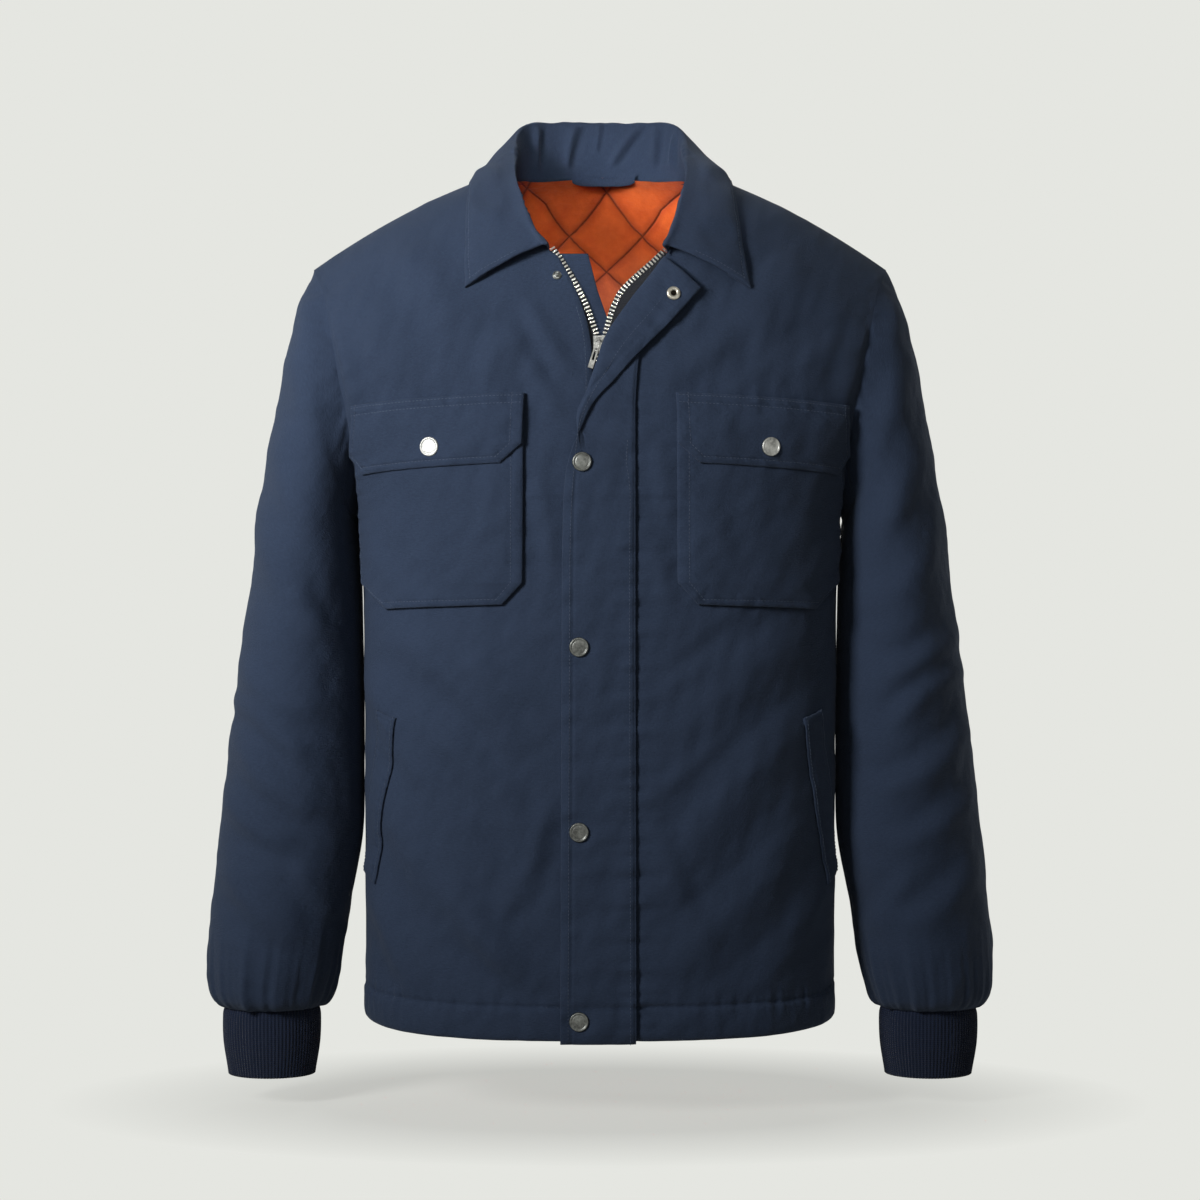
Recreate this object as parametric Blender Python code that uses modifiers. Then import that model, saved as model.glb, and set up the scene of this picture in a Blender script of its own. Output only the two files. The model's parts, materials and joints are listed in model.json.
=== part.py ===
"""Work jacket, filled out as on a wearer: shell panels, sleeves, rib cuffs, fold-down collar,
zip under a fly flap, flap pockets, welt pockets and a quilted lining.

Metres, +Z up. The front faces -Y and the wearer's right side is at -X. The origin is at the base
of the neck, midway between the shoulders, where the wearer carries the jacket."""

import math

import bmesh
import bpy
import numpy as np
from mathutils import Matrix, Vector

# ---------------------------------------------------------------- driving sizes
GAP = 0.0003                # between two pieces that meet at a seam
SHELL = 0.0018              # twill shell with its wadding layer
ROUND = 2.6                 # exponent of the torso's superellipse sections
SHOULDER_TURN = 0.12        # height over which the shoulders round over
HEM_SIDE_Z = -0.685         # hem height at the side seams
HEM_DROP = 0.0125           # how much lower it hangs at the centre front and back
ARMPIT_Z = -0.275
# rows of the turned hem: height over its edge, outward relief
HEM_ROWS = [(0.0, 0.0012), (0.0255, 0.0012), (0.0295, 0.0)]
BODY_ROWS = 10              # rows from the hem to the armpit
ARM_ROWS = 12               # rows from the armpit to the shoulder tip
NECK_ROWS = 5               # the last of them, whose edge end climbs the neckline
EDGE_LOW_Z = -0.6975        # lowest point of the front edges
EDGE_RISE = 0.010           # how much higher than the armpit a front edge's row lies there
FRONT_COLUMNS = 10          # from the front edge to the side seam
BACK_COLUMNS = 9            # from the centre back to the side seam
RIBS = 48                   # ribs round each cuff
QUILT_ROWS = 22
QUILT_COLUMNS = 6
QUILT_WALL = 0.0008         # the lining's thickness at its stitch lines
QUILT_PUFF = 0.0030         # and in the middle of a diamond
LINING_LIFT = -0.0066       # the lining's hidden face under the shell's outer face
LINING_NECK_LIFT = -0.0024  # the same at the neck
LINING_NECK_ROWS = 4        # rows over which it rises there
LINING_NECK_SHARE = 0.4     # share of the width that rises there
LINING_HEM_RISE = 0.012     # height of the lining's lower edge over the hem
LINING_INSET = 0.0145       # how far its front edge lies behind the shell's
SNAP_RADIUS = 0.0078

# torso sections: height, half width, depth in front, depth behind
TORSO = [
    (-0.700, 0.1955, 0.125, 0.120),
    (-0.600, 0.1960, 0.126, 0.117),
    (-0.450, 0.1965, 0.128, 0.114),
    (-0.350, 0.1975, 0.128, 0.119),
    (-0.275, 0.2000, 0.128, 0.125),
    (-0.260, 0.2027, 0.128, 0.126),
    (-0.230, 0.2138, 0.127, 0.127),
    (-0.200, 0.2320, 0.124, 0.128),
    (-0.172, 0.2470, 0.121, 0.128),
    (-0.144, 0.2560, 0.117, 0.128),
    (-0.100, 0.2620, 0.110, 0.128),
    (-0.069, 0.2640, 0.105, 0.127),
    (0.050, 0.2660, 0.100, 0.125),
]
# armhole seam seen from the front: distance from the centre, height
ARMHOLE = [(0.2000, -0.275), (0.2015, -0.250), (0.2040, -0.215), (0.2080, -0.186),
           (0.2115, -0.172), (0.2165, -0.1435), (0.2245, -0.108), (0.2290, -0.090), (0.2400, -0.069)]
# front edges and necklines seen from the front: distance from the centre, height
RIGHT_FRONT_EDGE = [(0.0064, -0.697), (0.0064, -0.160), (0.0085, -0.134), (0.0130, -0.115),
                    (0.0220, -0.092), (0.0335, -0.070)]
LEFT_FRONT_EDGE = [(0.0065, -0.697), (0.0065, -0.150), (0.0090, -0.134), (0.0160, -0.120),
                   (0.0320, -0.100), (0.0500, -0.075)]
RIGHT_NECKLINE = [(0.0335, -0.070), (0.0520, -0.054), (0.0680, -0.033), (0.0780, -0.008)]
LEFT_NECKLINE = [(0.0500, -0.075), (0.0600, -0.056), (0.0700, -0.033), (0.0780, -0.008)]
BACK_NECKLINE = [(0.0, 0.0170), (0.0450, 0.0120), (0.0650, 0.0110), (0.0780, 0.0100)]
NECK_POINT_X = 0.083        # where neckline and shoulder seam meet
COLLAR_REACH = 0.9          # share of the front neckline that the collar is sewn to

# sleeve rings: outer edge and inner edge (distance from the centre, height), half depth, centre Y
SLEEVE = [
    (0.2503, -0.0940, 0.2035, -0.279, 0.082, 0.000),
    (0.2630, -0.1445, 0.2040, -0.285, 0.083, 0.000),
    (0.2764, -0.2117, 0.2030, -0.302, 0.083, 0.001),
    (0.2864, -0.2790, 0.2015, -0.333, 0.081, 0.002),
    (0.2957, -0.3460, 0.2002, -0.376, 0.078, 0.002),
    (0.3040, -0.4133, 0.1992, -0.427, 0.074, 0.000),
    (0.3120, -0.4805, 0.1988, -0.482, 0.070, -0.004),
    (0.3195, -0.5477, 0.1994, -0.540, 0.066, -0.008),
    (0.3242, -0.5980, 0.2083, -0.597, 0.063, -0.011),
    (0.3268, -0.6400, 0.2150, -0.639, 0.060, -0.013),
    (0.3266, -0.6660, 0.2215, -0.666, 0.056, -0.014),
    (0.3215, -0.6785, 0.2265, -0.679, 0.050, -0.015),
    (0.3140, -0.6840, 0.2335, -0.684, 0.040, -0.015),
]
CUFF_X = 0.2738             # cuff centre
CUFF_Y = -0.0150
CUFF = [(-0.6845, 0.0405, 0.0390), (-0.7130, 0.0388, 0.0362), (-0.7400, 0.0362, 0.0330)]
CUFF_WALL = 0.0025
CUFF_RIB = 0.0008

# collar stations from the centre back to the front end: roll line point, then the fall's edge as
# (distance from the centre, height) with the side of the torso that it lies on
COLLAR = [
    ((0.000, 0.0710, 0.0645), (0.000, 0.003), 1),
    ((0.036, 0.0670, 0.0645), (0.045, 0.002), 1),
    ((0.062, 0.0550, 0.0630), (0.085, 0.001), 1),
    ((0.0705, 0.0350, 0.0470), (0.103, 0.001), 1),
    ((0.0700, -0.0040, 0.0285), (0.1072, 0.0033), -1),
    ((0.0685, -0.0480, 0.0060), (0.1080, -0.016), -1),
    ((0.0610, -0.0850, -0.0240), (0.1085, -0.040), -1),
    ((0.0525, -0.1020, -0.0470), (0.1085, -0.068), -1),
    ((0.0420, -0.1130, -0.0615), (0.1080, -0.095), -1),
]
COLLAR_WALL = 0.0020
COLLAR_CLEAR = 0.0024       # from the middle of the fall's wall to the shell under it
LEFT_SPREAD = (0.0080, 0.0125)      # how much wider the left front end stands: roll line, edge

# fly flap rows from the top: seam, roll line and free edge, each as X and height
FLY_FOLDED = [
    (0.0678, -0.0865, 0.0520, -0.0726, 0.0800, -0.0972),
    (0.0560, -0.1030, 0.0390, -0.0900, 0.0672, -0.1115),
    (0.0454, -0.1193, 0.0264, -0.1056, 0.0544, -0.1259),
    (0.0322, -0.1480, 0.0065, -0.1345, 0.0320, -0.1479),
    (0.0285, -0.1800, -0.0016, -0.1568, 0.0120, -0.1704),
    (0.0280, -0.2080, -0.0098, -0.1810, -0.0050, -0.1890),
    (0.0280, -0.2330, -0.0175, -0.2050, -0.0150, -0.2090),
]
FLY_FLAT = [
    (0.0280, -0.2600, -0.0265, -0.2430),
    (0.0280, -0.3000, -0.0294, -0.2950),
    (0.0280, -0.3780, -0.0300, -0.3778),
    (0.0282, -0.4580, -0.0303, -0.4580),
    (0.0284, -0.5380, -0.0306, -0.5380),
    (0.0286, -0.6180, -0.0309, -0.6180),
    (0.0287, -0.6660, -0.0311, -0.6660),
    (0.0287, -0.6760, -0.0311, -0.6760),
    (0.0287, -0.6995, -0.0311, -0.6995),
]
FLY_WALL = 0.0020
FLY_LIFT = 0.0021           # middle of the flap's wall above the shell
FLY_HEM_LIFT = 0.0034       # the same over the turned hem
FLY_FOLD_RISE = 0.0038      # from the lower layer's middle to the folded layer's
FLY_ROLL = 0.0014           # how far the fold rolls out past its line
FLY_SHARES = (0.0, 0.16, 0.33, 0.5, 0.65, 0.78, 0.9, 1.0)      # columns from seam to free edge

# chest pockets and flaps on the wearer's right: rows of outer X, height, inner X, height
POCKET = [
    (-0.1970, -0.2120, -0.0612, -0.2050),
    (-0.1965, -0.2600, -0.0614, -0.2560),
    (-0.1945, -0.3080, -0.0616, -0.3040),
    (-0.1936, -0.3324, -0.0618, -0.3322),
    (-0.1724, -0.3533, -0.0779, -0.3496),
]
POCKET_FLAP = [
    (-0.1990, -0.1884, -0.0607, -0.1810),
    (-0.1990, -0.2000, -0.0611, -0.1930),
    (-0.1995, -0.2272, -0.0622, -0.2217),
    (-0.1884, -0.2426, -0.0793, -0.2368),
]
POCKET_LIFT = 0.0023
POCKET_WALL = 0.0014
WELT_LIFT = 0.0008
FLAP_WALL = 0.0020
FLAP_LIFTS = [0.0023, 0.0046, 0.0048, 0.0048]
WELT = [(-0.1780, -0.4356, -0.1626, -0.4418), (-0.1842, -0.4760, -0.1690, -0.4830),
        (-0.1893, -0.5200, -0.1762, -0.5270), (-0.1930, -0.5700, -0.1835, -0.5780)]

# zip: X of the row of teeth and height, down each side of the open top, then closed
RIGHT_TEETH = [(-0.0380, -0.0620), (-0.0314, -0.0711), (-0.0201, -0.0901), (-0.0112, -0.1081),
               (-0.0056, -0.1235), (-0.0022, -0.1341), (-0.0010, -0.1500), (-0.0010, -0.6850)]
LEFT_TEETH = [(0.0560, -0.0640), (0.0458, -0.0743), (0.0321, -0.0893), (0.0200, -0.1032),
              (0.0120, -0.1162), (0.0056, -0.1284), (0.0018, -0.1500), (0.0012, -0.6850)]
TAPE_WIDTH = 0.0130
TAPE_LIFT = -0.0036         # inner side of the tape, under the shell
TAPE_WALL = 0.0009
GUARD = [(-0.0440, -0.0660, -0.0098, -0.0660), (-0.0330, -0.0920, -0.0020, -0.0970),
         (-0.0240, -0.1150, 0.0060, -0.1200), (-0.0200, -0.1400, 0.0080, -0.1420),
         (-0.0190, -0.2000, 0.0090, -0.2000), (-0.0190, -0.4400, 0.0090, -0.4400),
         (-0.0190, -0.6820, 0.0090, -0.6820)]
# hanger loop: centre x, half length, height of its ends, drop at its middle, width and wall
LOOP_X, LOOP_HALF, LOOP_TOP_Z, LOOP_DROP, LOOP_WIDTH, LOOP_WALL = 0.003, 0.027, 0.0205, 0.0040, 0.0075, 0.0012
LOOP_Y, LOOP_BOW = 0.0542, 0.0029       # how far back its middle lies, and how much less its ends do
GUARD_LIFT = -0.0054
GUARD_WALL = 0.0010
SLIDER_X = -0.0006
SLIDER_Z = -0.1410
PULL_TILT = math.radians(17.0)
# slider in its own frame, where X runs across the zip, Y up it and Z out of the cloth
SLIDER_BODY, SLIDER_SINK = (0.0094, 0.0130, 0.0024), -0.0008
SLIDER_EAR, EAR_X, EAR_RISE = (0.0007, 0.0030, 0.0034), 0.0021, 0.0018
PIN_RADIUS, PIN_LENGTH, PIN_Y, PIN_RISE = 0.0005, 0.0044, 0.0030, 0.0026
EYE_RADIUS, EYE_LENGTH, EYE_HOLE_RADIUS = 0.0014, 0.0026, 0.0008
# boxes of the pull tab: name, size, how far below the pin, operation
PULL_BOXES = [("pull_neck", (0.0018, 0.0052, 0.0012), 0.0036, "UNION"),
              ("pull_plate", (0.0042, 0.0190, 0.0012), 0.0152, "UNION"),
              ("pull_slot", (0.0018, 0.0100, 0.0040), 0.0130, "DIFFERENCE")]

# snaps: name, X, height, lift of the cloth that carries it
FLY_SNAPS = [(-0.0143, -0.2362), (-0.0167, -0.3834), (-0.0167, -0.5306), (-0.0167, -0.6812)]
POCKET_SNAP = (0.1340, -0.2232)
SOCKET = (0.0585, -0.1019)
STUD = (-0.0345, -0.0852)
STUD_LIFT = -0.0005         # the shell's flat facets lie a little inside its curve here

# turned profiles from the top centre out and down to the base: radius, height
SNAP_PROFILE = [(0.0, 0.0024), (0.55, 0.0023), (0.72, 0.0019), (0.80, 0.0024), (0.93, 0.0022),
                (1.0, 0.0012), (0.94, 0.0), (0.0, 0.0)]        # radius as a share of SNAP_RADIUS
SOCKET_PROFILE = [(0.0, 0.0006), (0.0022, 0.0006), (0.0030, 0.0016), (0.0050, 0.0016),
                  (0.0056, 0.0008), (0.0054, 0.0), (0.0, 0.0)]
STUD_PROFILE = [(0.0, 0.0034), (0.0014, 0.0033), (0.0018, 0.0024), (0.0015, 0.0014),
                (0.0036, 0.0009), (0.0036, 0.0), (0.0, 0.0)]

# colours in linear light: name, colour, roughness, metallic
MATERIALS = {
    "navy_twill": ((0.030, 0.044, 0.078), 0.85, 0.0),
    "navy_rib_knit": ((0.011, 0.016, 0.028), 0.95, 0.0),
    "orange_lining": ((0.520, 0.075, 0.016), 0.60, 0.0),
    "navy_tape": ((0.018, 0.026, 0.045), 0.90, 0.0),
    "antique_metal": ((0.260, 0.260, 0.245), 0.35, 1.0),
    "bright_metal": ((0.700, 0.700, 0.680), 0.25, 1.0),
}


# ---------------------------------------------------------------- torso form
def section(z):
    """Half width, depth in front and depth behind at one height."""
    heights = [row[0] for row in TORSO]
    return [float(np.interp(z, heights, [row[i] for row in TORSO])) for i in (1, 2, 3)]


def shoulder_z(x):
    """Height of the shoulder line at a distance from the centre."""
    run = abs(x) - 0.08
    return 0.013 - 0.33 * run - 1.15 * run * run


def torso_point(turn, z, side, face):
    """Point of the shell's outer face. turn runs from 0 at the centre to 90 degrees at the side,
    side is -1 or 1 along X, and face is -1 for the front or 1 for the back."""
    width, front, back = section(z)
    x = width * max(0.0, math.sin(turn)) ** (2 / ROUND)
    depth = front if face < 0 else back
    rise = min(1.0, max(0.0, (shoulder_z(x) - z) / SHOULDER_TURN))
    y = depth * max(0.0, math.cos(turn)) ** (2 / ROUND) * math.sqrt(1 - (1 - rise) ** 2)
    return Vector((side * x, face * y, z))


def turn_at(x, z):
    """The turn whose point has this distance from the centre at this height."""
    return math.asin(min(1.0, abs(x) / section(z)[0]) ** (ROUND / 2))


def torso_normal(turn, z, side, face):
    """Outward direction of the shell there."""
    rise, swing, centre = 0.004, 0.02, 0.001        # steps in height and in turn
    low = max(turn - swing, centre)
    high = min(turn + swing, math.pi / 2 - centre)
    across = torso_point(high, z, side, face) - torso_point(low, z, side, face)
    here = torso_point(turn, z, side, face)
    top = z + rise if shoulder_z(here.x) > z + rise else z
    up = torso_point(turn, top, side, face) - torso_point(turn, z - rise, side, face)
    normal = across.cross(up)
    if turn < centre:
        normal.x = 0.0
    normal.normalize()
    return normal if normal.dot(Vector((here.x, here.y * 2, 0.02))) > 0 else -normal


def on_torso(x, z, lift=0.0, face=-1):
    """Point over the shell at this X and height, moved out by lift, and the outward direction."""
    side = -1 if x < 0 else 1
    turn = turn_at(x, z)
    normal = torso_normal(turn, z, side, face)
    return torso_point(turn, z, side, face) + normal * lift, normal


def edge_normal(point, turn, z, side, face):
    """The outward direction, kept in the seam's plane along the side seam and the shoulder seam."""
    normal = torso_normal(turn, z, side, face)
    if turn > math.pi / 2 - 0.001 or z > shoulder_z(point.x) - 0.0005:
        normal.y = 0.0
        normal.normalize()
    return normal


def clear_of_torso(point, away, clearance):
    """The point, moved away in small steps until it lies this far outside the shell."""
    step = 0.0004
    while True:
        probe = point - away * clearance
        face = -1 if probe.y < 0 else 1
        below = probe.z < shoulder_z(probe.x)
        side = 1 if probe.x > 0 else -1
        depth = abs(torso_point(turn_at(probe.x, probe.z), probe.z, side, face).y)
        if not below or abs(probe.y) > depth:
            return point
        point = point + away * step


# ---------------------------------------------------------------- making solids
def material(name):
    found = bpy.data.materials.get(name)
    if found:
        return found
    colour, roughness, metallic = MATERIALS[name]
    made = bpy.data.materials.new(name)
    made.use_nodes = True
    shader = made.node_tree.nodes["Principled BSDF"]
    shader.inputs["Base Color"].default_value = (*colour, 1.0)
    shader.inputs["Roughness"].default_value = roughness
    shader.inputs["Metallic"].default_value = metallic
    made.diffuse_color = (*colour, 1.0)
    return made


def finish(obj, finish_name, sharp=40.0):
    """Own material, smooth shading and a place in the jacket's collection."""
    own = material(finish_name).copy()
    own.name = obj.name
    obj.data.materials.clear()
    obj.data.materials.append(own)
    obj.data.shade_smooth()
    obj.data.set_sharp_from_angle(angle=math.radians(sharp))
    for collection in list(obj.users_collection):
        collection.objects.unlink(obj)
    jacket.objects.link(obj)
    return obj


def cloth_wall(name, points, inner_points, faces, finish_name):
    """A closed wall between an open net of outer points and the inner point of each. Its free
    edges are closed, and its faces are turned to point out."""
    count = len(points)
    uses = {}
    for face in faces:
        for a, b in zip(face, face[1:] + face[:1]):
            uses[(a, b)] = True
    rims = [(a, b) for a, b in uses if (b, a) not in uses]
    solid = [tuple(face) for face in faces]
    solid += [tuple(index + count for index in reversed(face)) for face in faces]
    solid += [(b, a, a + count, b + count) for a, b in rims]
    mesh = bpy.data.meshes.new(name)
    mesh.from_pydata([*points, *inner_points], [], solid)
    shape = bmesh.new()
    shape.from_mesh(mesh)
    if shape.calc_volume(signed=True) < 0:
        bmesh.ops.reverse_faces(shape, faces=shape.faces)
    shape.to_mesh(mesh)
    shape.free()
    return finish(bpy.data.objects.new(name, mesh), finish_name)


def net_faces(rows, columns, closed=False):
    """Faces of a net of rows x columns points, row by row."""
    faces = []
    for row in range(rows - 1):
        for column in range(columns if closed else columns - 1):
            after = (column + 1) % columns
            faces.append([row * columns + column, row * columns + after,
                          (row + 1) * columns + after, (row + 1) * columns + column])
    return faces


def along(table, share):
    """Point at a share of the length of a polyline of tuples."""
    points = [np.array(row, float) for row in table]
    lengths = np.cumsum([0.0] + [float(np.linalg.norm(b - a)) for a, b in zip(points, points[1:])])
    place = share * lengths[-1]
    return np.array([np.interp(place, lengths, [p[i] for p in points]) for i in range(len(points[0]))])


# ---------------------------------------------------------------- shell panels
def hem_z(turn):
    return HEM_SIDE_Z - HEM_DROP * max(0.0, math.cos(turn)) ** 0.5


def armhole_share(row):
    """Distance from the centre and height of the armhole seam at one of its rows."""
    return along(ARMHOLE, row / ARM_ROWS)


def panel_ends(edge, neckline, face):
    """For each row of a half panel from hem to shoulder: turn and height of the edge end and of the
    side end. Above the armpit the side end climbs the armhole, and the last rows of the edge end
    climb the neckline."""
    neckline = [*neckline, (NECK_POINT_X, shoulder_z(NECK_POINT_X))]
    climb_row = BODY_ROWS + ARM_ROWS - NECK_ROWS
    level_rows = [0, BODY_ROWS, climb_row]
    levels = [EDGE_LOW_Z, ARMPIT_Z + EDGE_RISE, edge[-1][1]]
    rows = []
    for row in range(BODY_ROWS + ARM_ROWS + 1):
        if row <= BODY_ROWS:
            side_end = (math.pi / 2, HEM_SIDE_Z + (ARMPIT_Z - HEM_SIDE_Z) * row / BODY_ROWS)
        else:
            x, z = armhole_share(row - BODY_ROWS)
            side_end = (turn_at(x, z), z)
        if row <= climb_row:
            z = float(np.interp(row, level_rows, levels))
            x = float(np.interp(z, [p[1] for p in edge], [p[0] for p in edge]))
        else:
            x, z = along(neckline, (row - climb_row) / NECK_ROWS)
        rows.append(((turn_at(x, z), z), side_end))
    return rows


def panel_rows(ends, columns):
    """Turn and height of each point, with extra rows at the turned hem."""
    rows = []
    for (turn_a, z_a), (turn_b, z_b) in ends:
        shares = [c / columns for c in range(columns + 1)]
        rows.append([(turn_a + (turn_b - turn_a) * s, z_a + (z_b - z_a) * s) for s in shares])
    hem = rows[0]
    level = [hem_z(turn) for turn, _ in hem]
    extra = [[(turn, z + up) for (turn, _), z in zip(hem, level)] for up, _ in HEM_ROWS]
    return [*extra, *rows[1:]]


def half_panel(ends, columns, side, face):
    """Outer and inner points of a half panel, row by row from the edge to the side seam."""
    rows = panel_rows(ends, columns)
    outer, inner = [], []
    for r, row in enumerate(rows):
        for turn, z in row:
            point = torso_point(turn, z, side, face)
            normal = edge_normal(point, turn, z, side, face)
            raised = HEM_ROWS[r][1] if r < len(HEM_ROWS) else 0.0
            top = point + normal * raised
            low = point - normal * SHELL
            top.y = face * max(face * top.y, GAP / 2)
            low.y = face * max(face * low.y, GAP / 2)
            outer.append(top)
            inner.append(low)
    return outer, inner, len(rows)


def make_front(name, edge, neckline, side):
    outer, inner, rows = half_panel(panel_ends(edge, neckline, -1), FRONT_COLUMNS, side, -1)
    return cloth_wall(name, outer, inner, net_faces(rows, FRONT_COLUMNS + 1), "navy_twill")


def make_back():
    """Both halves of the back, joined down the centre below the neck."""
    ends = panel_ends([(0.0, -0.697), (0.0, BACK_NECKLINE[0][1])], BACK_NECKLINE, 1)
    outer, inner, rows = half_panel(ends, BACK_COLUMNS, 1, 1)
    mirrored = [[Vector((-p.x, p.y, p.z)) for p in points] for points in (outer, inner)]
    width = BACK_COLUMNS + 1
    faces = net_faces(rows, width)
    count = rows * width
    shared = {}
    for row in range(rows):
        if abs(outer[row * width].x) < 1e-6:
            shared[row * width + count] = row * width
    faces += [[shared.get(i + count, i + count) for i in reversed(face)] for face in faces]
    points, inners = outer + mirrored[0], inner + mirrored[1]
    used = sorted({i for face in faces for i in face})
    place = {old: new for new, old in enumerate(used)}
    faces = [[place[i] for i in face] for face in faces]
    return cloth_wall("back", [points[i] for i in used], [inners[i] for i in used], faces, "navy_twill")


# ---------------------------------------------------------------- sleeves and cuffs
def armhole_loop(side):
    """Outer and inner points of the armhole, from the shoulder tip down the front and up the back,
    and the direction that leads out of the armhole into the sleeve."""
    loop = []
    for step in range(2 * ARM_ROWS):
        row = ARM_ROWS - step if step <= ARM_ROWS else step - ARM_ROWS
        face = -1 if step <= ARM_ROWS else 1
        x, z = armhole_share(row)
        turn = turn_at(x, z)
        point = torso_point(turn, z, side, face)
        normal = torso_normal(turn, z, side, face)
        if row in (0, ARM_ROWS):
            point.y = 0.0
            normal.y = 0.0
            normal.normalize()
        loop.append((point, normal))
    return loop


def make_sleeve(name, side):
    loop = armhole_loop(side)
    steps = len(loop)
    centre = sum((point for point, _ in loop), Vector()) / steps
    outer, inner = [], []
    for index, (point, normal) in enumerate(loop):
        ahead = loop[(index + 1) % steps][0] - loop[index - 1][0]
        out = normal.cross(ahead).normalized()
        if out.dot(centre - point) < 0:
            out = -out
        outer.append(point + out * GAP)
        inner.append(point + out * GAP - normal * SHELL)
    for ox, oz, ix, iz, depth, y in SLEEVE:
        centre = Vector(((ox + ix) / 2, y, (oz + iz) / 2))
        half = Vector(((ox - ix) / 2, 0, (oz - iz) / 2))
        for step in range(steps):
            angle = 2 * math.pi * step / steps
            spread = half * math.cos(angle) + Vector((0, -depth * math.sin(angle), 0))
            point = centre + spread
            slope = math.cos(angle) * depth, -math.sin(angle) * half.length
            normal = (half.normalized() * slope[0] + Vector((0, slope[1], 0))).normalized()
            low = point - normal * SHELL
            outer.append(Vector((side * point.x, point.y, point.z)))
            inner.append(Vector((side * low.x, low.y, low.z)))
    faces = net_faces(len(SLEEVE) + 1, steps, closed=True)
    return cloth_wall(name, outer, inner, faces, "navy_twill")


def make_cuff(name, side):
    """A rib-knit tube: the ribs stand out of its outer face, and its inside is plain."""
    steps = 2 * RIBS
    outer, inner = [], []
    for z, half_x, half_y in CUFF:
        for step in range(steps):
            angle = 2 * math.pi * step / steps
            rib = CUFF_RIB if step % 2 else 0.0
            around = Vector((math.cos(angle), math.sin(angle), 0))
            for points, grow in ((outer, rib - CUFF_RIB), (inner, -CUFF_WALL)):
                points.append(Vector((side * (CUFF_X + (half_x + grow) * around.x),
                                      CUFF_Y + (half_y + grow) * around.y, z - GAP)))
    faces = net_faces(len(CUFF), steps, closed=True)
    return cloth_wall(name, outer, inner, faces, "navy_rib_knit")


# ---------------------------------------------------------------- collar
def smooth(table, share):
    """Catmull-Rom point at a share of a table's rows."""
    place = share * (len(table) - 1)
    index = min(int(place), len(table) - 2)
    t = place - index
    rows = [np.array(table[min(max(index + k, 0), len(table) - 1)], float) for k in (-1, 0, 1, 2)]
    a, b, c, d = rows
    return 0.5 * (2 * b + (c - a) * t + (2 * a - 5 * b + 4 * c - d) * t * t
                  + (3 * b - a - 3 * c + d) * t * t * t)


def neck_seam(share, neckline):
    """Point of the neckline at a share from the centre back to the front end."""
    if share < 0.5:
        x, z = along([*BACK_NECKLINE, (NECK_POINT_X, shoulder_z(NECK_POINT_X))], share * 2)
        return on_torso(x, z, 0.0, 1)[0]
    front = [(NECK_POINT_X, shoulder_z(NECK_POINT_X)), *reversed(neckline)]
    x, z = along(front, (share * 2 - 1) * COLLAR_REACH)
    return on_torso(x, z, 0.0, -1)[0]


def collar_section(share, neckline, spread):
    """Middle line of the collar's cloth at a share from centre back to front end: up the stand,
    over the roll line and down the fall."""
    rows = [(*roll, *edge, face) for roll, edge, face in COLLAR]
    rx, ry, rz, ex, ez, face = smooth(rows, share)
    rx += spread[0] * share ** 4
    ex += spread[1] * share ** 4
    roll = Vector((rx, ry, rz))
    seam = neck_seam(share, neckline) + Vector((0, 0, 0.0016))
    edge, up = on_torso(ex, min(ez, shoulder_z(ex) - 0.0002), 0.0026, 1 if face > 0 else -1)
    out = (edge - seam)
    out.z = 0.0
    out.normalize()
    fold = 0.0035
    lean = (roll - seam).normalized()
    shoulder = roll + out * 2 * fold - lean * fold
    middle = (shoulder + edge) / 2 + (up + out).normalized() * 0.006
    away = (up + out).normalized()
    line = [seam.lerp(roll, 0.5), roll - lean * fold * 0.6, roll + out * fold * 0.6,
            shoulder, shoulder.lerp(middle, 0.6), middle.lerp(edge, 0.45), edge]
    return [seam, *[clear_of_torso(point, away, COLLAR_CLEAR) for point in line]]


def net_normals(points, rows, columns, closed=False):
    """Direction square to a net at each of its points."""
    grid = np.array([tuple(p) for p in points]).reshape(rows, columns, 3)
    across = np.gradient(grid, axis=1)
    if closed:
        across = np.roll(grid, -1, axis=1) - np.roll(grid, 1, axis=1)
    down = np.gradient(grid, axis=0)
    normal = np.cross(across, down)
    normal /= np.linalg.norm(normal, axis=2, keepdims=True)
    return [Vector(n) for n in normal.reshape(-1, 3)]


def make_collar():
    stations = 14
    rows = []
    for station in range(-stations, stations + 1):
        side = -1 if station < 0 else 1
        neckline, spread = (RIGHT_NECKLINE, (0.0, 0.0)) if side < 0 else (LEFT_NECKLINE, LEFT_SPREAD)
        line = collar_section(abs(station) / stations, neckline, spread)
        rows.append([Vector((p.x * side, p.y, p.z)) for p in line])
    points = [p for row in rows for p in row]
    columns = len(rows[0])
    normals = net_normals(points, len(rows), columns)
    outer = [p + n * COLLAR_WALL / 2 for p, n in zip(points, normals)]
    inner = [p - n * COLLAR_WALL / 2 for p, n in zip(points, normals)]
    return cloth_wall("collar", outer, inner, net_faces(len(rows), columns), "navy_twill")


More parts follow.
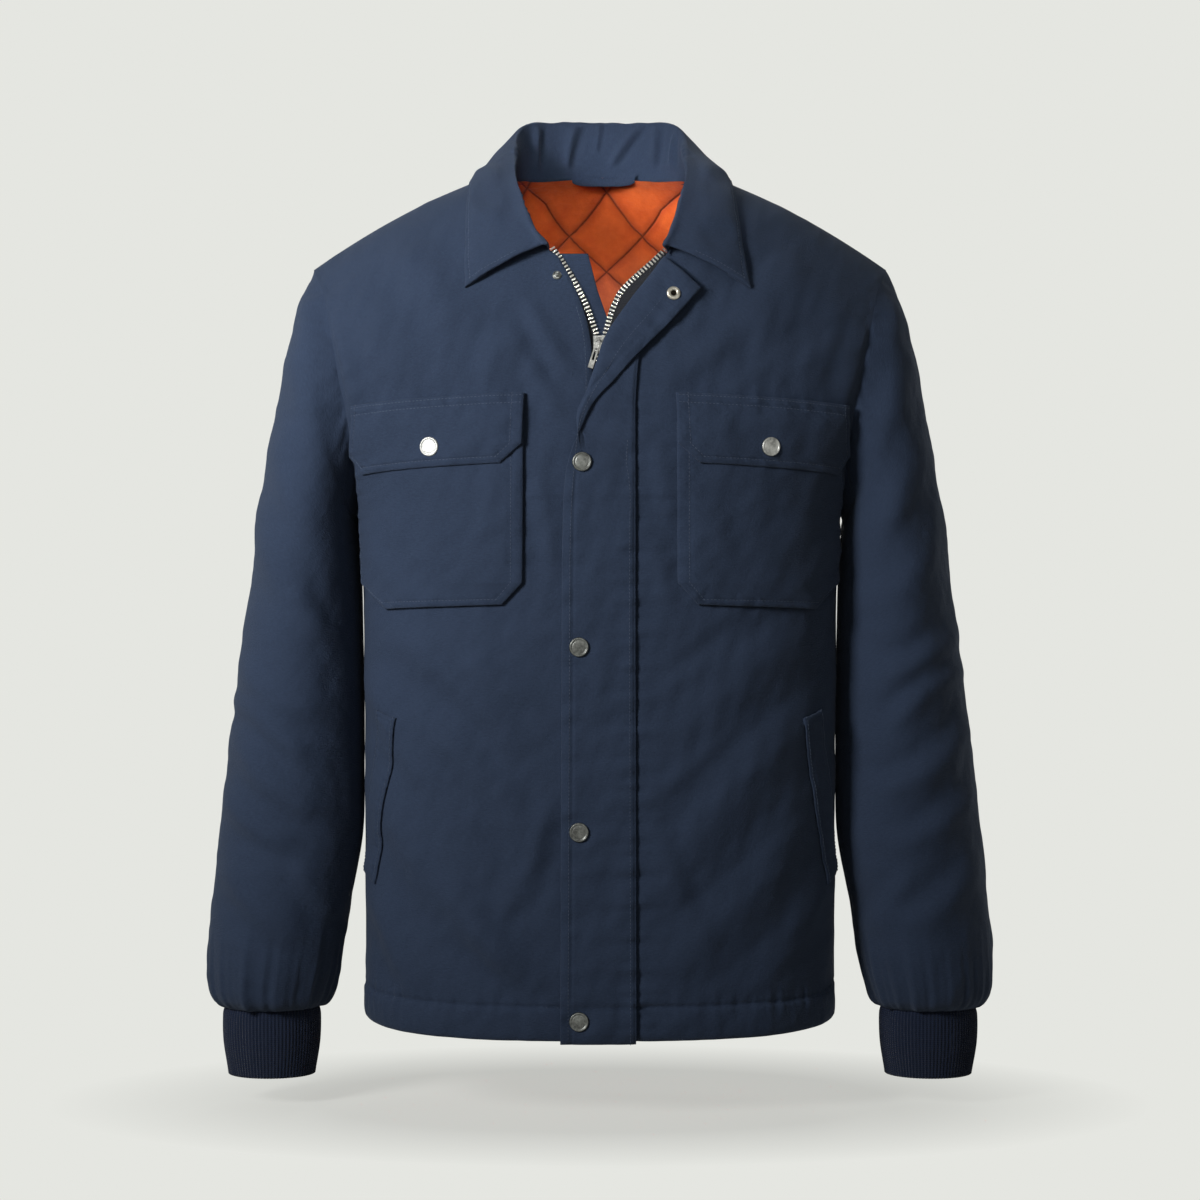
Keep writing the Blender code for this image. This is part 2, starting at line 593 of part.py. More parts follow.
# ---------------------------------------------------------------- pieces laid on the fronts
def laid_patch(name, rows, lifts, thickness, finish_name, columns=12, mirror=False, pitch=0.026):
    """A wall over the front, from rows of (left X, height, right X, height), each with its lift."""
    dense = []
    for index in range(len(rows) - 1):
        start, end = np.array([*rows[index], lifts[index]]), np.array([*rows[index + 1], lifts[index + 1]])
        steps = max(1, math.ceil(max(abs(end - start)) / pitch))
        dense += [start + (end - start) * step / steps for step in range(steps)]
    dense.append(np.array([*rows[-1], lifts[-1]]))
    outer, inner = [], []
    for x_a, z_a, x_b, z_b, lift in dense:
        turns = [math.copysign(turn_at(x, z), x) for x, z in ((x_a, z_a), (x_b, z_b))]
        for column in range(columns + 1):
            share = column / columns
            turn = turns[0] + (turns[1] - turns[0]) * share
            z = z_a + (z_b - z_a) * share
            side = -1 if turn < 0 else 1
            point = torso_point(abs(turn), z, side, -1)
            normal = torso_normal(abs(turn), z, side, -1)
            top, low = point + normal * (lift + thickness), point + normal * lift
            if mirror:
                top.x, low.x = -top.x, -low.x
            outer.append(top)
            inner.append(low)
    return cloth_wall(name, outer, inner, net_faces(len(dense), columns + 1), finish_name)


def tape_rows(teeth, side):
    """Rows of a zip tape that runs from the teeth back under the shell."""
    return [(x, z, x + side * TAPE_WIDTH, z - 0.6 * TAPE_WIDTH * min(1.0, abs(x) / 0.02))
            for x, z in teeth]


def make_fly_flap():
    """The fly flap: flat over the zip below, and folded back on itself at the top."""
    points = []
    for sx, sz, rx, rz, fx, fz in FLY_FOLDED:
        back = Vector((fx - rx, 0, fz - rz))
        share_out = Vector((rx - sx, 0, rz - sz)).normalized() * FLY_ROLL
        for share in (0.0, 0.33, 0.66, 0.93):
            points.append(on_torso(sx + (rx - sx) * share, sz + (rz - sz) * share, FLY_LIFT)[0])
        points.append(on_torso(rx + share_out.x, rz + share_out.z, FLY_LIFT + FLY_FOLD_RISE / 2)[0])
        for share in (0.12, 0.5, 1.0):
            points.append(on_torso(rx + back.x * share, rz + back.z * share,
                                   FLY_LIFT + FLY_FOLD_RISE)[0])
    for index, (sx, sz, fx, fz) in enumerate(FLY_FLAT):
        lift = FLY_HEM_LIFT if index >= len(FLY_FLAT) - 3 else FLY_LIFT
        points += [on_torso(sx + (fx - sx) * share, sz + (fz - sz) * share, lift)[0] for share in FLY_SHARES]
    rows = len(FLY_FOLDED) + len(FLY_FLAT)
    normals = net_normals(points, rows, len(FLY_SHARES))
    outer = [p + n * FLY_WALL / 2 for p, n in zip(points, normals)]
    inner = [p - n * FLY_WALL / 2 for p, n in zip(points, normals)]
    return cloth_wall("fly_flap", outer, inner, net_faces(rows, len(FLY_SHARES)), "navy_twill")


# ---------------------------------------------------------------- lining
def quilt_net(ends, columns, side, face):
    """Visible and hidden points of a half lining. The quilting's crossings lie on every second
    point, and the diamonds' middles between them are puffed."""
    hidden, seen = [], []
    for row in range(QUILT_ROWS + 1):
        place = row / QUILT_ROWS * (len(ends) - 1)
        index = min(int(place), len(ends) - 2)
        t = place - index
        a = np.array(ends[index]) * (1 - t) + np.array(ends[index + 1]) * t
        for column in range(columns + 1):
            share = column / columns
            turn, z = a[0] * (1 - share) + a[1] * share
            z = max(z, hem_z(turn) + LINING_HEM_RISE)
            point = torso_point(turn, z, side, face)
            normal = edge_normal(point, turn, z, side, face)
            from_top = (QUILT_ROWS - row) / LINING_NECK_ROWS
            near_neck = max(0.0, 1 - from_top) if share < LINING_NECK_SHARE else 0.0
            base = LINING_LIFT + (LINING_NECK_LIFT - LINING_LIFT) * near_neck
            puffed = (row + column) % 2 and 0 < row < QUILT_ROWS
            puff = QUILT_PUFF if puffed else QUILT_WALL
            for points, depth in ((hidden, base), (seen, base - puff)):
                moved = point + normal * depth
                moved.y = face * max(face * moved.y, GAP)
                points.append(moved)
    return hidden, seen


def quilt_faces(columns, flip=0):
    """Two triangles a cell, split along the stitch line between crossings."""
    faces = []
    width = columns + 1
    for row in range(QUILT_ROWS):
        for column in range(columns):
            a = row * width + column
            b, c, d = a + 1, a + width + 1, a + width
            if (row + column + flip) % 2 == 0:
                faces += [[a, b, c], [a, c, d]]
            else:
                faces += [[a, b, d], [b, c, d]]
    return faces


def make_lining_front(name, edge, neckline, side):
    inset = [(x + LINING_INSET, z) for x, z in edge]
    inset_neck = [inset[-1], *[(x + 0.004, z - 0.002) for x, z in neckline[1:]]]
    hidden, seen = quilt_net(panel_ends(inset, inset_neck, -1), QUILT_COLUMNS, side, -1)
    return cloth_wall(name, hidden, seen, quilt_faces(QUILT_COLUMNS), "orange_lining")


def make_lining_back():
    ends = panel_ends([(0.0, -0.697), (0.0, BACK_NECKLINE[0][1])], BACK_NECKLINE, 1)
    hidden, seen = quilt_net(ends, QUILT_COLUMNS, 1, 1)
    width = QUILT_COLUMNS + 1
    count = len(hidden)
    shared = {i + count: i for i in range(0, count, width) if abs(hidden[i].x) < 1e-6}
    faces = quilt_faces(QUILT_COLUMNS)
    faces += [[shared.get(i + count, i + count) for i in reversed(face)] for face in faces]
    both = [[*points, *[Vector((-p.x, p.y, p.z)) for p in points]] for points in (hidden, seen)]
    used = sorted({i for face in faces for i in face})
    place = {old: new for new, old in enumerate(used)}
    faces = [[place[i] for i in face] for face in faces]
    return cloth_wall("lining_back", [both[0][i] for i in used], [both[1][i] for i in used],
                      faces, "orange_lining")


def make_hanger_loop():
    """A narrow strip sewn in at the back neck, bowed down in front of the lining."""
    outer, inner = [], []
    steps = 8
    for step in range(steps + 1):
        share = step / steps * 2 - 1
        top = LOOP_TOP_Z - LOOP_DROP * math.sqrt(max(0.0, 1 - share ** 4))
        y = LOOP_Y - LOOP_BOW * share * share
        for level in (0.0, -LOOP_WIDTH):
            point = Vector((LOOP_X + LOOP_HALF * share, y, top + level))
            outer.append(point)
            inner.append(point + Vector((0, LOOP_WALL, 0)))
    return cloth_wall("hanger_loop", outer, inner, net_faces(steps + 1, 2), "navy_twill")


# ---------------------------------------------------------------- hardware
def frame_on(point, normal):
    """Placement whose Z points out of the cloth and whose Y points up along it."""
    out = normal.normalized()
    across = Vector((0, 0, 1)).cross(out).normalized()
    up = out.cross(across)
    turned = Matrix((across, up, out)).transposed().to_4x4()
    return Matrix.Translation(point) @ turned


def turned_piece(name, profile, place, finish_name, steps=12):
    """A solid of revolution: its profile runs from the top centre out and down to the base."""
    mesh = bpy.data.meshes.new(name)
    mesh.from_pydata([(r, 0, h) for r, h in profile], [], [(i, i + 1) for i in range(len(profile) - 1)])
    obj = bpy.data.objects.new(name, mesh)
    finish(obj, finish_name, 30.0)
    screw = obj.modifiers.new("turn", "SCREW")
    screw.steps = screw.render_steps = steps
    screw.use_merge_vertices = True
    screw.merge_threshold = 0.00001
    screw.use_smooth_shade = True
    screw.use_normal_flip = True
    obj.matrix_world = place
    return obj


def snap_cap(name, x, z, lift, finish_name):
    point, normal = on_torso(x, z, lift + GAP)
    profile = [(share * SNAP_RADIUS, high) for share, high in SNAP_PROFILE]
    return turned_piece(name, profile, frame_on(point, normal), finish_name)


def box(name, size, centre, place):
    """A box in a placement's own axes, as a cutter or a piece to join."""
    mesh = bpy.data.meshes.new(name)
    shape = bmesh.new()
    bmesh.ops.create_cube(shape, size=1.0)
    bmesh.ops.scale(shape, vec=size, verts=shape.verts)
    bmesh.ops.translate(shape, vec=centre, verts=shape.verts)
    shape.to_mesh(mesh)
    shape.free()
    obj = bpy.data.objects.new(name, mesh)
    obj.matrix_world = place
    return obj


def rod(name, radius, length, centre, place, segments=16):
    """A round bar along the placement's X."""
    mesh = bpy.data.meshes.new(name)
    shape = bmesh.new()
    bmesh.ops.create_cone(shape, cap_ends=True, segments=segments, radius1=radius,
                          radius2=radius, depth=length)
    bmesh.ops.rotate(shape, matrix=Matrix.Rotation(math.pi / 2, 3, "Y"), verts=shape.verts)
    bmesh.ops.translate(shape, vec=centre, verts=shape.verts)
    shape.to_mesh(mesh)
    shape.free()
    obj = bpy.data.objects.new(name, mesh)
    obj.matrix_world = place
    return obj


def combine(target, other, operation):
    """Join or cut with a helper that stays in the cutters' collection."""
    cutters.objects.link(other)
    other.hide_render = True
    other.display_type = "WIRE"
    change = target.modifiers.new(other.name, "BOOLEAN")
    change.operation = operation
    change.object = other


def make_zip_slider(place):
    """Slider body between the front edges, with two ears and the pin that carries the pull."""
    slider = finish(box("zip_slider", SLIDER_BODY, (0, 0, SLIDER_SINK), place), "antique_metal")
    for side in (-1, 1):
        ear = box(f"slider_ear_{side}", SLIDER_EAR, (side * EAR_X, PIN_Y, EAR_RISE), place)
        combine(slider, ear, "UNION")
    combine(slider, rod("slider_pin", PIN_RADIUS, PIN_LENGTH, (0, PIN_Y, PIN_RISE), place), "UNION")
    return slider


def make_zip_pull(place):
    """Pull tab: an eye round the slider's pin and a flat tab with a slot."""
    hinge = place @ Vector((0, PIN_Y, PIN_RISE))
    turned = Matrix.Translation(hinge) @ place.to_3x3().to_4x4()
    pull = finish(rod("zip_pull", EYE_RADIUS, EYE_LENGTH, (0, 0, 0), turned), "antique_metal")
    leaning = turned @ Matrix.Rotation(-PULL_TILT, 4, "Z")
    for name, size, down, operation in PULL_BOXES:
        combine(pull, box(name, size, (0, -down, 0), leaning), operation)
    combine(pull, rod("pull_eye", EYE_HOLE_RADIUS, 2 * EYE_LENGTH, (0, 0, 0), turned), "DIFFERENCE")
    return pull


# ---------------------------------------------------------------- the jacket
for old in list(bpy.data.objects):
    bpy.data.objects.remove(old, do_unlink=True)
jacket = bpy.data.collections.new("work_jacket")
cutters = bpy.data.collections.new("cutters")
bpy.context.scene.collection.children.link(jacket)
bpy.context.scene.collection.children.link(cutters)

make_front("front_right", RIGHT_FRONT_EDGE, RIGHT_NECKLINE, -1)
make_front("front_left", LEFT_FRONT_EDGE, LEFT_NECKLINE, 1)
make_back()
for side_name, side in (("right", -1), ("left", 1)):
    make_sleeve(f"sleeve_{side_name}", side)
    make_cuff(f"cuff_{side_name}", side)
    mirror = side > 0
    laid_patch(f"pocket_{side_name}", POCKET, [POCKET_LIFT] * len(POCKET), POCKET_WALL,
               "navy_twill", mirror=mirror)
    laid_patch(f"pocket_flap_{side_name}", POCKET_FLAP, FLAP_LIFTS, FLAP_WALL,
               "navy_twill", mirror=mirror)
    laid_patch(f"welt_{side_name}", WELT, [WELT_LIFT] * len(WELT), POCKET_WALL,
               "navy_twill", columns=3, mirror=mirror)
make_collar()
make_fly_flap()
laid_patch("zip_guard", GUARD, [GUARD_LIFT] * len(GUARD), GUARD_WALL, "navy_twill", columns=3, pitch=0.05)
laid_patch("zip_tape_right", tape_rows(RIGHT_TEETH, -1), [TAPE_LIFT] * len(RIGHT_TEETH),
           TAPE_WALL, "navy_tape", columns=2, pitch=0.05)
laid_patch("zip_tape_left", tape_rows(LEFT_TEETH, 1), [TAPE_LIFT] * len(LEFT_TEETH),
           TAPE_WALL, "navy_tape", columns=2, pitch=0.05)
make_lining_front("lining_right", RIGHT_FRONT_EDGE, RIGHT_NECKLINE, -1)
make_lining_front("lining_left", LEFT_FRONT_EDGE, LEFT_NECKLINE, 1)
make_lining_back()
make_hanger_loop()

slider_place = frame_on(*on_torso(SLIDER_X, SLIDER_Z, 0.0))
make_zip_slider(slider_place)
make_zip_pull(slider_place)

for number, (x, z) in enumerate(FLY_SNAPS, start=1):
    flap_top = FLY_WALL / 2 + (FLY_HEM_LIFT if number == len(FLY_SNAPS) else FLY_LIFT)
    snap_cap(f"fly_snap_{number}", x, z, flap_top, "antique_metal")
snap_cap("pocket_snap_right", -POCKET_SNAP[0], POCKET_SNAP[1], FLAP_LIFTS[-1] + FLAP_WALL, "bright_metal")
snap_cap("pocket_snap_left", POCKET_SNAP[0], POCKET_SNAP[1], FLAP_LIFTS[-1] + FLAP_WALL, "antique_metal")

socket_base = on_torso(*SOCKET, FLY_LIFT + FLY_FOLD_RISE + FLY_WALL / 2 + GAP)
turned_piece("top_socket", SOCKET_PROFILE, frame_on(*socket_base), "antique_metal")
turned_piece("top_stud", STUD_PROFILE, frame_on(*on_torso(*STUD, STUD_LIFT)), "antique_metal")
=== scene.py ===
import json
import math
import bpy
import bmesh
import numpy as np
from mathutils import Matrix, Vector

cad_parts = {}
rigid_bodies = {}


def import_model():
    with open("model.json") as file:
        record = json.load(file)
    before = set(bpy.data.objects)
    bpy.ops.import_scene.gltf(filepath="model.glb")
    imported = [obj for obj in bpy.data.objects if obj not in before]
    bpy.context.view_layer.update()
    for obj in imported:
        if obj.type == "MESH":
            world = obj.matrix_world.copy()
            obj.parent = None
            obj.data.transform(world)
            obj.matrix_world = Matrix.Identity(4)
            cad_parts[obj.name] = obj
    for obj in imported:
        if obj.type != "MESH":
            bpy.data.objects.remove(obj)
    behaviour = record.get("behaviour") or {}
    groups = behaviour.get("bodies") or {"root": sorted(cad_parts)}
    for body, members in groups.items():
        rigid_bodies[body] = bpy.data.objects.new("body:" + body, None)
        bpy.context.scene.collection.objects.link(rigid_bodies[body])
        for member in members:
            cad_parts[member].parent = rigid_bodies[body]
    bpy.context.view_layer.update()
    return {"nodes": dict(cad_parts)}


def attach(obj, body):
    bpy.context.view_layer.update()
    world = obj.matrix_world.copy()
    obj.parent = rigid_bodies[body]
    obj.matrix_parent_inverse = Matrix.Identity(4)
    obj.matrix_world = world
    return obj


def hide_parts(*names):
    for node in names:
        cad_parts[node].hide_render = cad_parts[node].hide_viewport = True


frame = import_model()
scene = bpy.context.scene

# ================================================================ the jacket's sizes, in metres
QUARTER = math.pi / 2       # a quarter turn
ROUND = 2.6                 # exponent of the body's rounded sections
SHOULDER_TURN = 0.12        # height over which the shoulders round over
EDGE_FOOT_Z = -0.697        # foot of the front edges and of the back's centre line
HEM_TUCK = 0.016            # how far the hem is turned under
HEM_SIDE_Z = -0.685         # hem height at the side seams
HEM_DROP = 0.0125           # how much lower it hangs at the centre front and back
ARMPIT_Z = -0.275
CLOTH = 0.0018              # shell cloth with its wadding
GAP = 0.0003                # between two pieces that meet at a seam
SNAP_RADIUS = 0.0078
SIDE_NAMES = {-1: "right", 1: "left"}       # the wearer's sides, by the sign of x

# body sections: height, half width, depth in front, depth behind
BODY = np.array([
    (-0.700, 0.1955, 0.125, 0.120), (-0.600, 0.1960, 0.126, 0.117), (-0.450, 0.1965, 0.128, 0.114),
    (-0.350, 0.1975, 0.128, 0.119), (-0.275, 0.2000, 0.128, 0.125), (-0.260, 0.2027, 0.128, 0.126),
    (-0.230, 0.2138, 0.127, 0.127), (-0.200, 0.2320, 0.124, 0.128), (-0.172, 0.2470, 0.121, 0.128),
    (-0.144, 0.2560, 0.117, 0.128), (-0.100, 0.2620, 0.110, 0.128), (-0.069, 0.2640, 0.105, 0.127),
    (0.050, 0.2660, 0.100, 0.125)])
# armhole seam, front edges and necklines seen from the front: distance from the centre, height
ARMHOLE = [(0.2000, -0.275), (0.2015, -0.250), (0.2040, -0.215), (0.2080, -0.186),
           (0.2115, -0.172), (0.2165, -0.1435), (0.2245, -0.108), (0.2290, -0.090), (0.2400, -0.069)]
RIGHT_EDGE = [
    (0.0064, -0.697), (0.0064, -0.450), (0.0064, -0.300), (0.0064, -0.210), (0.0064, -0.160),
    (0.0085, -0.134), (0.0130, -0.115), (0.0220, -0.092), (0.0335, -0.070)]
LEFT_EDGE = [
    (0.0065, -0.697), (0.0065, -0.450), (0.0065, -0.300), (0.0065, -0.200), (0.0065, -0.150),
    (0.0090, -0.134), (0.0160, -0.120), (0.0320, -0.100), (0.0500, -0.075)]
RIGHT_NECK = [(0.0335, -0.070), (0.0520, -0.054), (0.0680, -0.033), (0.0780, -0.008)]
LEFT_NECK = [(0.0500, -0.075), (0.0600, -0.056), (0.0700, -0.033), (0.0780, -0.008)]
BACK_NECK = [(0.0, 0.0170), (0.0450, 0.0120), (0.0650, 0.0110), (0.0780, 0.0100)]
NECK_POINT_X = 0.083
# sleeve rings: outer edge x and z, inner edge x and z, half depth, centre y
SLEEVE = np.array([
    (0.2503, -0.0940, 0.2035, -0.279, 0.082, 0.000), (0.2630, -0.1445, 0.2030, -0.285, 0.083, 0.000),
    (0.2764, -0.2117, 0.2016, -0.302, 0.083, 0.001), (0.2864, -0.2790, 0.2002, -0.333, 0.081, 0.002),
    (0.2957, -0.3460, 0.1992, -0.376, 0.078, 0.002), (0.3040, -0.4133, 0.1980, -0.427, 0.074, 0.000),
    (0.3120, -0.4805, 0.1976, -0.482, 0.070, -0.004), (0.3195, -0.5477, 0.1984, -0.540, 0.066, -0.008),
    (0.3242, -0.5980, 0.2083, -0.597, 0.063, -0.011), (0.3268, -0.6400, 0.2150, -0.639, 0.060, -0.013),
    (0.3266, -0.6660, 0.2215, -0.666, 0.056, -0.014), (0.3215, -0.6785, 0.2265, -0.679, 0.050, -0.015),
    (0.3140, -0.6840, 0.2335, -0.684, 0.040, -0.015)])
# cuff rings: height, half width, half depth; the cuff's centre
CUFF = np.array([(-0.6845, 0.0405, 0.0390), (-0.7130, 0.0388, 0.0362), (-0.7400, 0.0362, 0.0330)])
CUFF_CENTRE = (0.2738, -0.0150)
# the turn of its lower edge: outward and up
CUFF_ROLL = [(-0.0005, -0.0004), (-0.0014, -0.0006), (-0.0024, -0.0001),
             (-0.0026, 0.0030), (-0.0026, 0.0200), (-0.0026, 0.0600)]
# collar stations, centre back to front end: fold line x, y, z, then edge x, z and the side it lies on
COLLAR = [(0.0000, 0.0710, 0.0645, 0.0000, 0.0030, 1), (0.0360, 0.0670, 0.0645, 0.0450, 0.0020, 1),
          (0.0620, 0.0550, 0.0630, 0.0850, 0.0010, 1), (0.0705, 0.0350, 0.0470, 0.1030, 0.0010, 1),
          (0.0700, -0.0040, 0.0285, 0.1072, 0.0033, -1), (0.0685, -0.0480, 0.0060, 0.1080, -0.0160, -1),
          (0.0610, -0.0850, -0.0240, 0.1085, -0.0400, -1), (0.0525, -0.1020, -0.0470, 0.1085, -0.0680, -1),
          (0.0420, -0.1130, -0.0615, 0.1080, -0.0950, -1)]
LEFT_SPREAD = (0.0080, 0.0125)      # how much wider the left front end stands: fold line, edge
# fly flap rows: seam x, z, fold line x, z and free edge x, z; below them seam x, z and free edge x, z
FLY_FOLDED = [
    (0.0678, -0.0865, 0.0520, -0.0726, 0.0800, -0.0972),
    (0.0560, -0.1030, 0.0390, -0.0900, 0.0672, -0.1115),
    (0.0454, -0.1193, 0.0264, -0.1056, 0.0544, -0.1259),
    (0.0322, -0.1480, 0.0065, -0.1345, 0.0320, -0.1479),
    (0.0285, -0.1800, -0.0016, -0.1568, 0.0120, -0.1704),
    (0.0280, -0.2080, -0.0098, -0.1810, -0.0050, -0.1890),
    (0.0280, -0.2330, -0.0175, -0.2050, -0.0150, -0.2090)]
FLY_FLAT = [
    (0.0280, -0.2600, -0.0265, -0.2430), (0.0280, -0.3000, -0.0294, -0.2950),
    (0.0280, -0.3780, -0.0300, -0.3778), (0.0282, -0.4580, -0.0303, -0.4580),
    (0.0284, -0.5380, -0.0306, -0.5380), (0.0286, -0.6180, -0.0309, -0.6180),
    (0.0287, -0.6660, -0.0311, -0.6660), (0.0287, -0.6995, -0.0311, -0.6995)]
FLY_LIFT, FLY_HEM_LIFT, FLY_RISE = 0.0021, 0.0034, 0.0038
FLY_STITCH, FLY_SEAM_STITCH, FLY_HEM_STITCH = 0.0085, 0.0045, 0.008      # from the free edge, seam and foot
# snaps: x, height and how far their base lies over the front's plain form
FLY_SPOTS = [(-0.0143, -0.2362, 0.0034), (-0.0167, -0.3834, 0.0034), (-0.0167, -0.5306, 0.0034),
             (-0.0167, -0.6812, 0.0047)]
POCKET_SNAP, FLAP_SNAP_LIFT = (0.1340, -0.2232), 0.0071
SOCKET, STUD = (0.0585, -0.1019, 0.0072), (-0.0345, -0.0852, -0.0005)
# pocket, flap and welt on the wearer's right: outer x, z, inner x, z
POCKET = [(-0.1970, -0.2120, -0.0612, -0.2050), (-0.1965, -0.2600, -0.0614, -0.2560),
          (-0.1945, -0.3080, -0.0616, -0.3040), (-0.1936, -0.3324, -0.0618, -0.3322),
          (-0.1724, -0.3533, -0.0779, -0.3496)]
FLAP = [(-0.1990, -0.1884, -0.0607, -0.1810), (-0.1990, -0.2000, -0.0611, -0.1930),
        (-0.1995, -0.2272, -0.0622, -0.2217), (-0.1884, -0.2426, -0.0793, -0.2368)]
WELT = [(-0.1780, -0.4356, -0.1626, -0.4418), (-0.1842, -0.4760, -0.1690, -0.4830),
        (-0.1893, -0.5200, -0.1762, -0.5270), (-0.1930, -0.5700, -0.1835, -0.5780)]
# how far the pocket, the flap's rows and the welt lie over the front, and the pocket's seam inside its edge
POCKET_LIFT, FLAP_LIFTS, WELT_LIFT = 0.0023, [0.0023, 0.0046, 0.0048, 0.0048], 0.0008
POCKET_STITCH = 0.0068
# zip: x of the teeth and height, down each side
RIGHT_TEETH = [(-0.0380, -0.0620), (-0.0314, -0.0711), (-0.0201, -0.0901), (-0.0112, -0.1081),
               (-0.0056, -0.1235), (-0.0022, -0.1341), (-0.0010, -0.1500), (-0.0010, -0.1700),
               (-0.0010, -0.2100), (-0.0010, -0.2900), (-0.0010, -0.4500), (-0.0010, -0.6850)]
LEFT_TEETH = [(0.0520, -0.0635), (0.0440, -0.0712), (0.0270, -0.0868), (0.0165, -0.0985),
              (0.0100, -0.1115), (0.0054, -0.1262), (0.0020, -0.1430), (0.0014, -0.1700),
              (0.0012, -0.2100), (0.0012, -0.2900), (0.0012, -0.4500), (0.0012, -0.6850)]
# outer edge of the left tape, before its width is added
LEFT_TAPE = [(0.0560, -0.0640), (0.0458, -0.0743), (0.0321, -0.0893), (0.0200, -0.1032),
              (0.0120, -0.1162), (0.0056, -0.1284), (0.0018, -0.1450), (0.0014, -0.1700),
              (0.0012, -0.2100), (0.0012, -0.2900), (0.0012, -0.4500), (0.0012, -0.6850)]
TAPE_WIDTH, TAPE_LIFT = 0.0130, -0.0036
TAPE_EDGE = 0.0026          # how far a tape reaches past its teeth
GUARD = [(-0.0440, -0.0660, -0.0098, -0.0660), (-0.0330, -0.0920, -0.0020, -0.0970),
         (-0.0240, -0.1150, 0.0060, -0.1200), (-0.0200, -0.1400, 0.0080, -0.1420),
         (-0.0190, -0.2000, 0.0090, -0.2000), (-0.0190, -0.4400, 0.0090, -0.4400),
         (-0.0190, -0.6820, 0.0090, -0.6820)]

# ================================================================ camera, floor and light
def placed(name, data):
    """An object of this data, in the scene."""
    made = bpy.data.objects.new(name, data)
    scene.collection.objects.link(made)
    return made


STUDIO = (0.783, 0.791, 0.753)      # the pale studio's colour in linear light
FLOOR_Z = -0.765
VIEW_CENTRE_Z = -0.346
VIEW_DISTANCE = 2.4

lens = bpy.data.cameras.new("camera")
lens.sensor_width = 36.0
lens.lens = 85.7
camera = placed("camera", lens)
camera.location = (0.0, -VIEW_DISTANCE, VIEW_CENTRE_Z)
camera.rotation_euler = (QUARTER, 0.0, 0.0)
scene.camera = camera
scene.view_settings.view_transform = "Standard"

world = bpy.data.worlds.new("studio")
world.use_nodes = True
world.node_tree.nodes["Background"].inputs["Color"].default_value = (*STUDIO, 1.0)
world.cycles_visibility.diffuse = False      # the lamps alone light the cloth
scene.world = world


# square lamps: name, place, the point they shine on, side, power and spread in degrees
LAMPS = [("key", (-1.15, -1.35, 0.25), (-0.35, -0.10, 0.0), 0.50, 6.7, 70.0),
         ("front", (0.10, -2.30, 0.20), (0.0, 0.0, -0.20), 0.70, 2.4, 180.0),
         ("top", (0.0, 0.10, 1.30), (0.0, 0.0, 0.0), 0.90, 0.3, 180.0),
         ("behind", (0.30, 2.20, 0.70), (0.0, 0.0, -0.25), 0.70, 7.0, 180.0),
         ("neck", (-0.10, -1.60, 0.42), (0.0, 0.05, -0.01), 0.12, 0.055, 10.0)]
for name, place, target, side, power, spread in LAMPS:
    lamp = bpy.data.lights.new(name, "AREA")
    lamp.shape, lamp.size, lamp.energy, lamp.spread = "SQUARE", side, power, math.radians(spread)
    lamp_object = placed(name, lamp)
    lamp_object.location = place
    lamp_object.rotation_euler = (Vector(target) - Vector(place)).to_track_quat("-Z", "Y").to_euler()


# ================================================================ shader maths
class Wire:
    """A shader value. Sums, products and comparisons of wires add Math nodes to their material."""

    def __init__(self, finish, socket):
        self.finish = finish
        self.socket = socket

    def _with(operation, reflected=False):
        def apply(self, other):
            pair = (other, self) if reflected else (self, other)
            return self.finish.node("ShaderNodeMath", {"operation": operation}, dict(enumerate(pair)))[0]
        return apply

    def __abs__(self):
        return self.finish.node("ShaderNodeMath", {"operation": "ABSOLUTE"}, {0: self})[0]

    __add__, __radd__ = _with("ADD"), _with("ADD", True)
    __sub__, __rsub__ = _with("SUBTRACT"), _with("SUBTRACT", True)
    __mul__, __rmul__ = _with("MULTIPLY"), _with("MULTIPLY", True)
    __truediv__, __rtruediv__ = _with("DIVIDE"), _with("DIVIDE", True)
    __pow__, __rpow__ = _with("POWER"), _with("POWER", True)


def add_node(tree, kind, settings, values):
    """Adds a node: its settings first, then the values, sockets or wires of its inputs."""
    made = tree.nodes.new(kind)
    for name, value in dict(settings).items():
        setattr(made, name, value)
    for name, value in dict(values).items():
        value = value.socket if isinstance(value, Wire) else value
        if isinstance(value, bpy.types.NodeSocket):
            tree.links.new(value, made.inputs[name])
        else:
            made.inputs[name].default_value = value
    return made.outputs


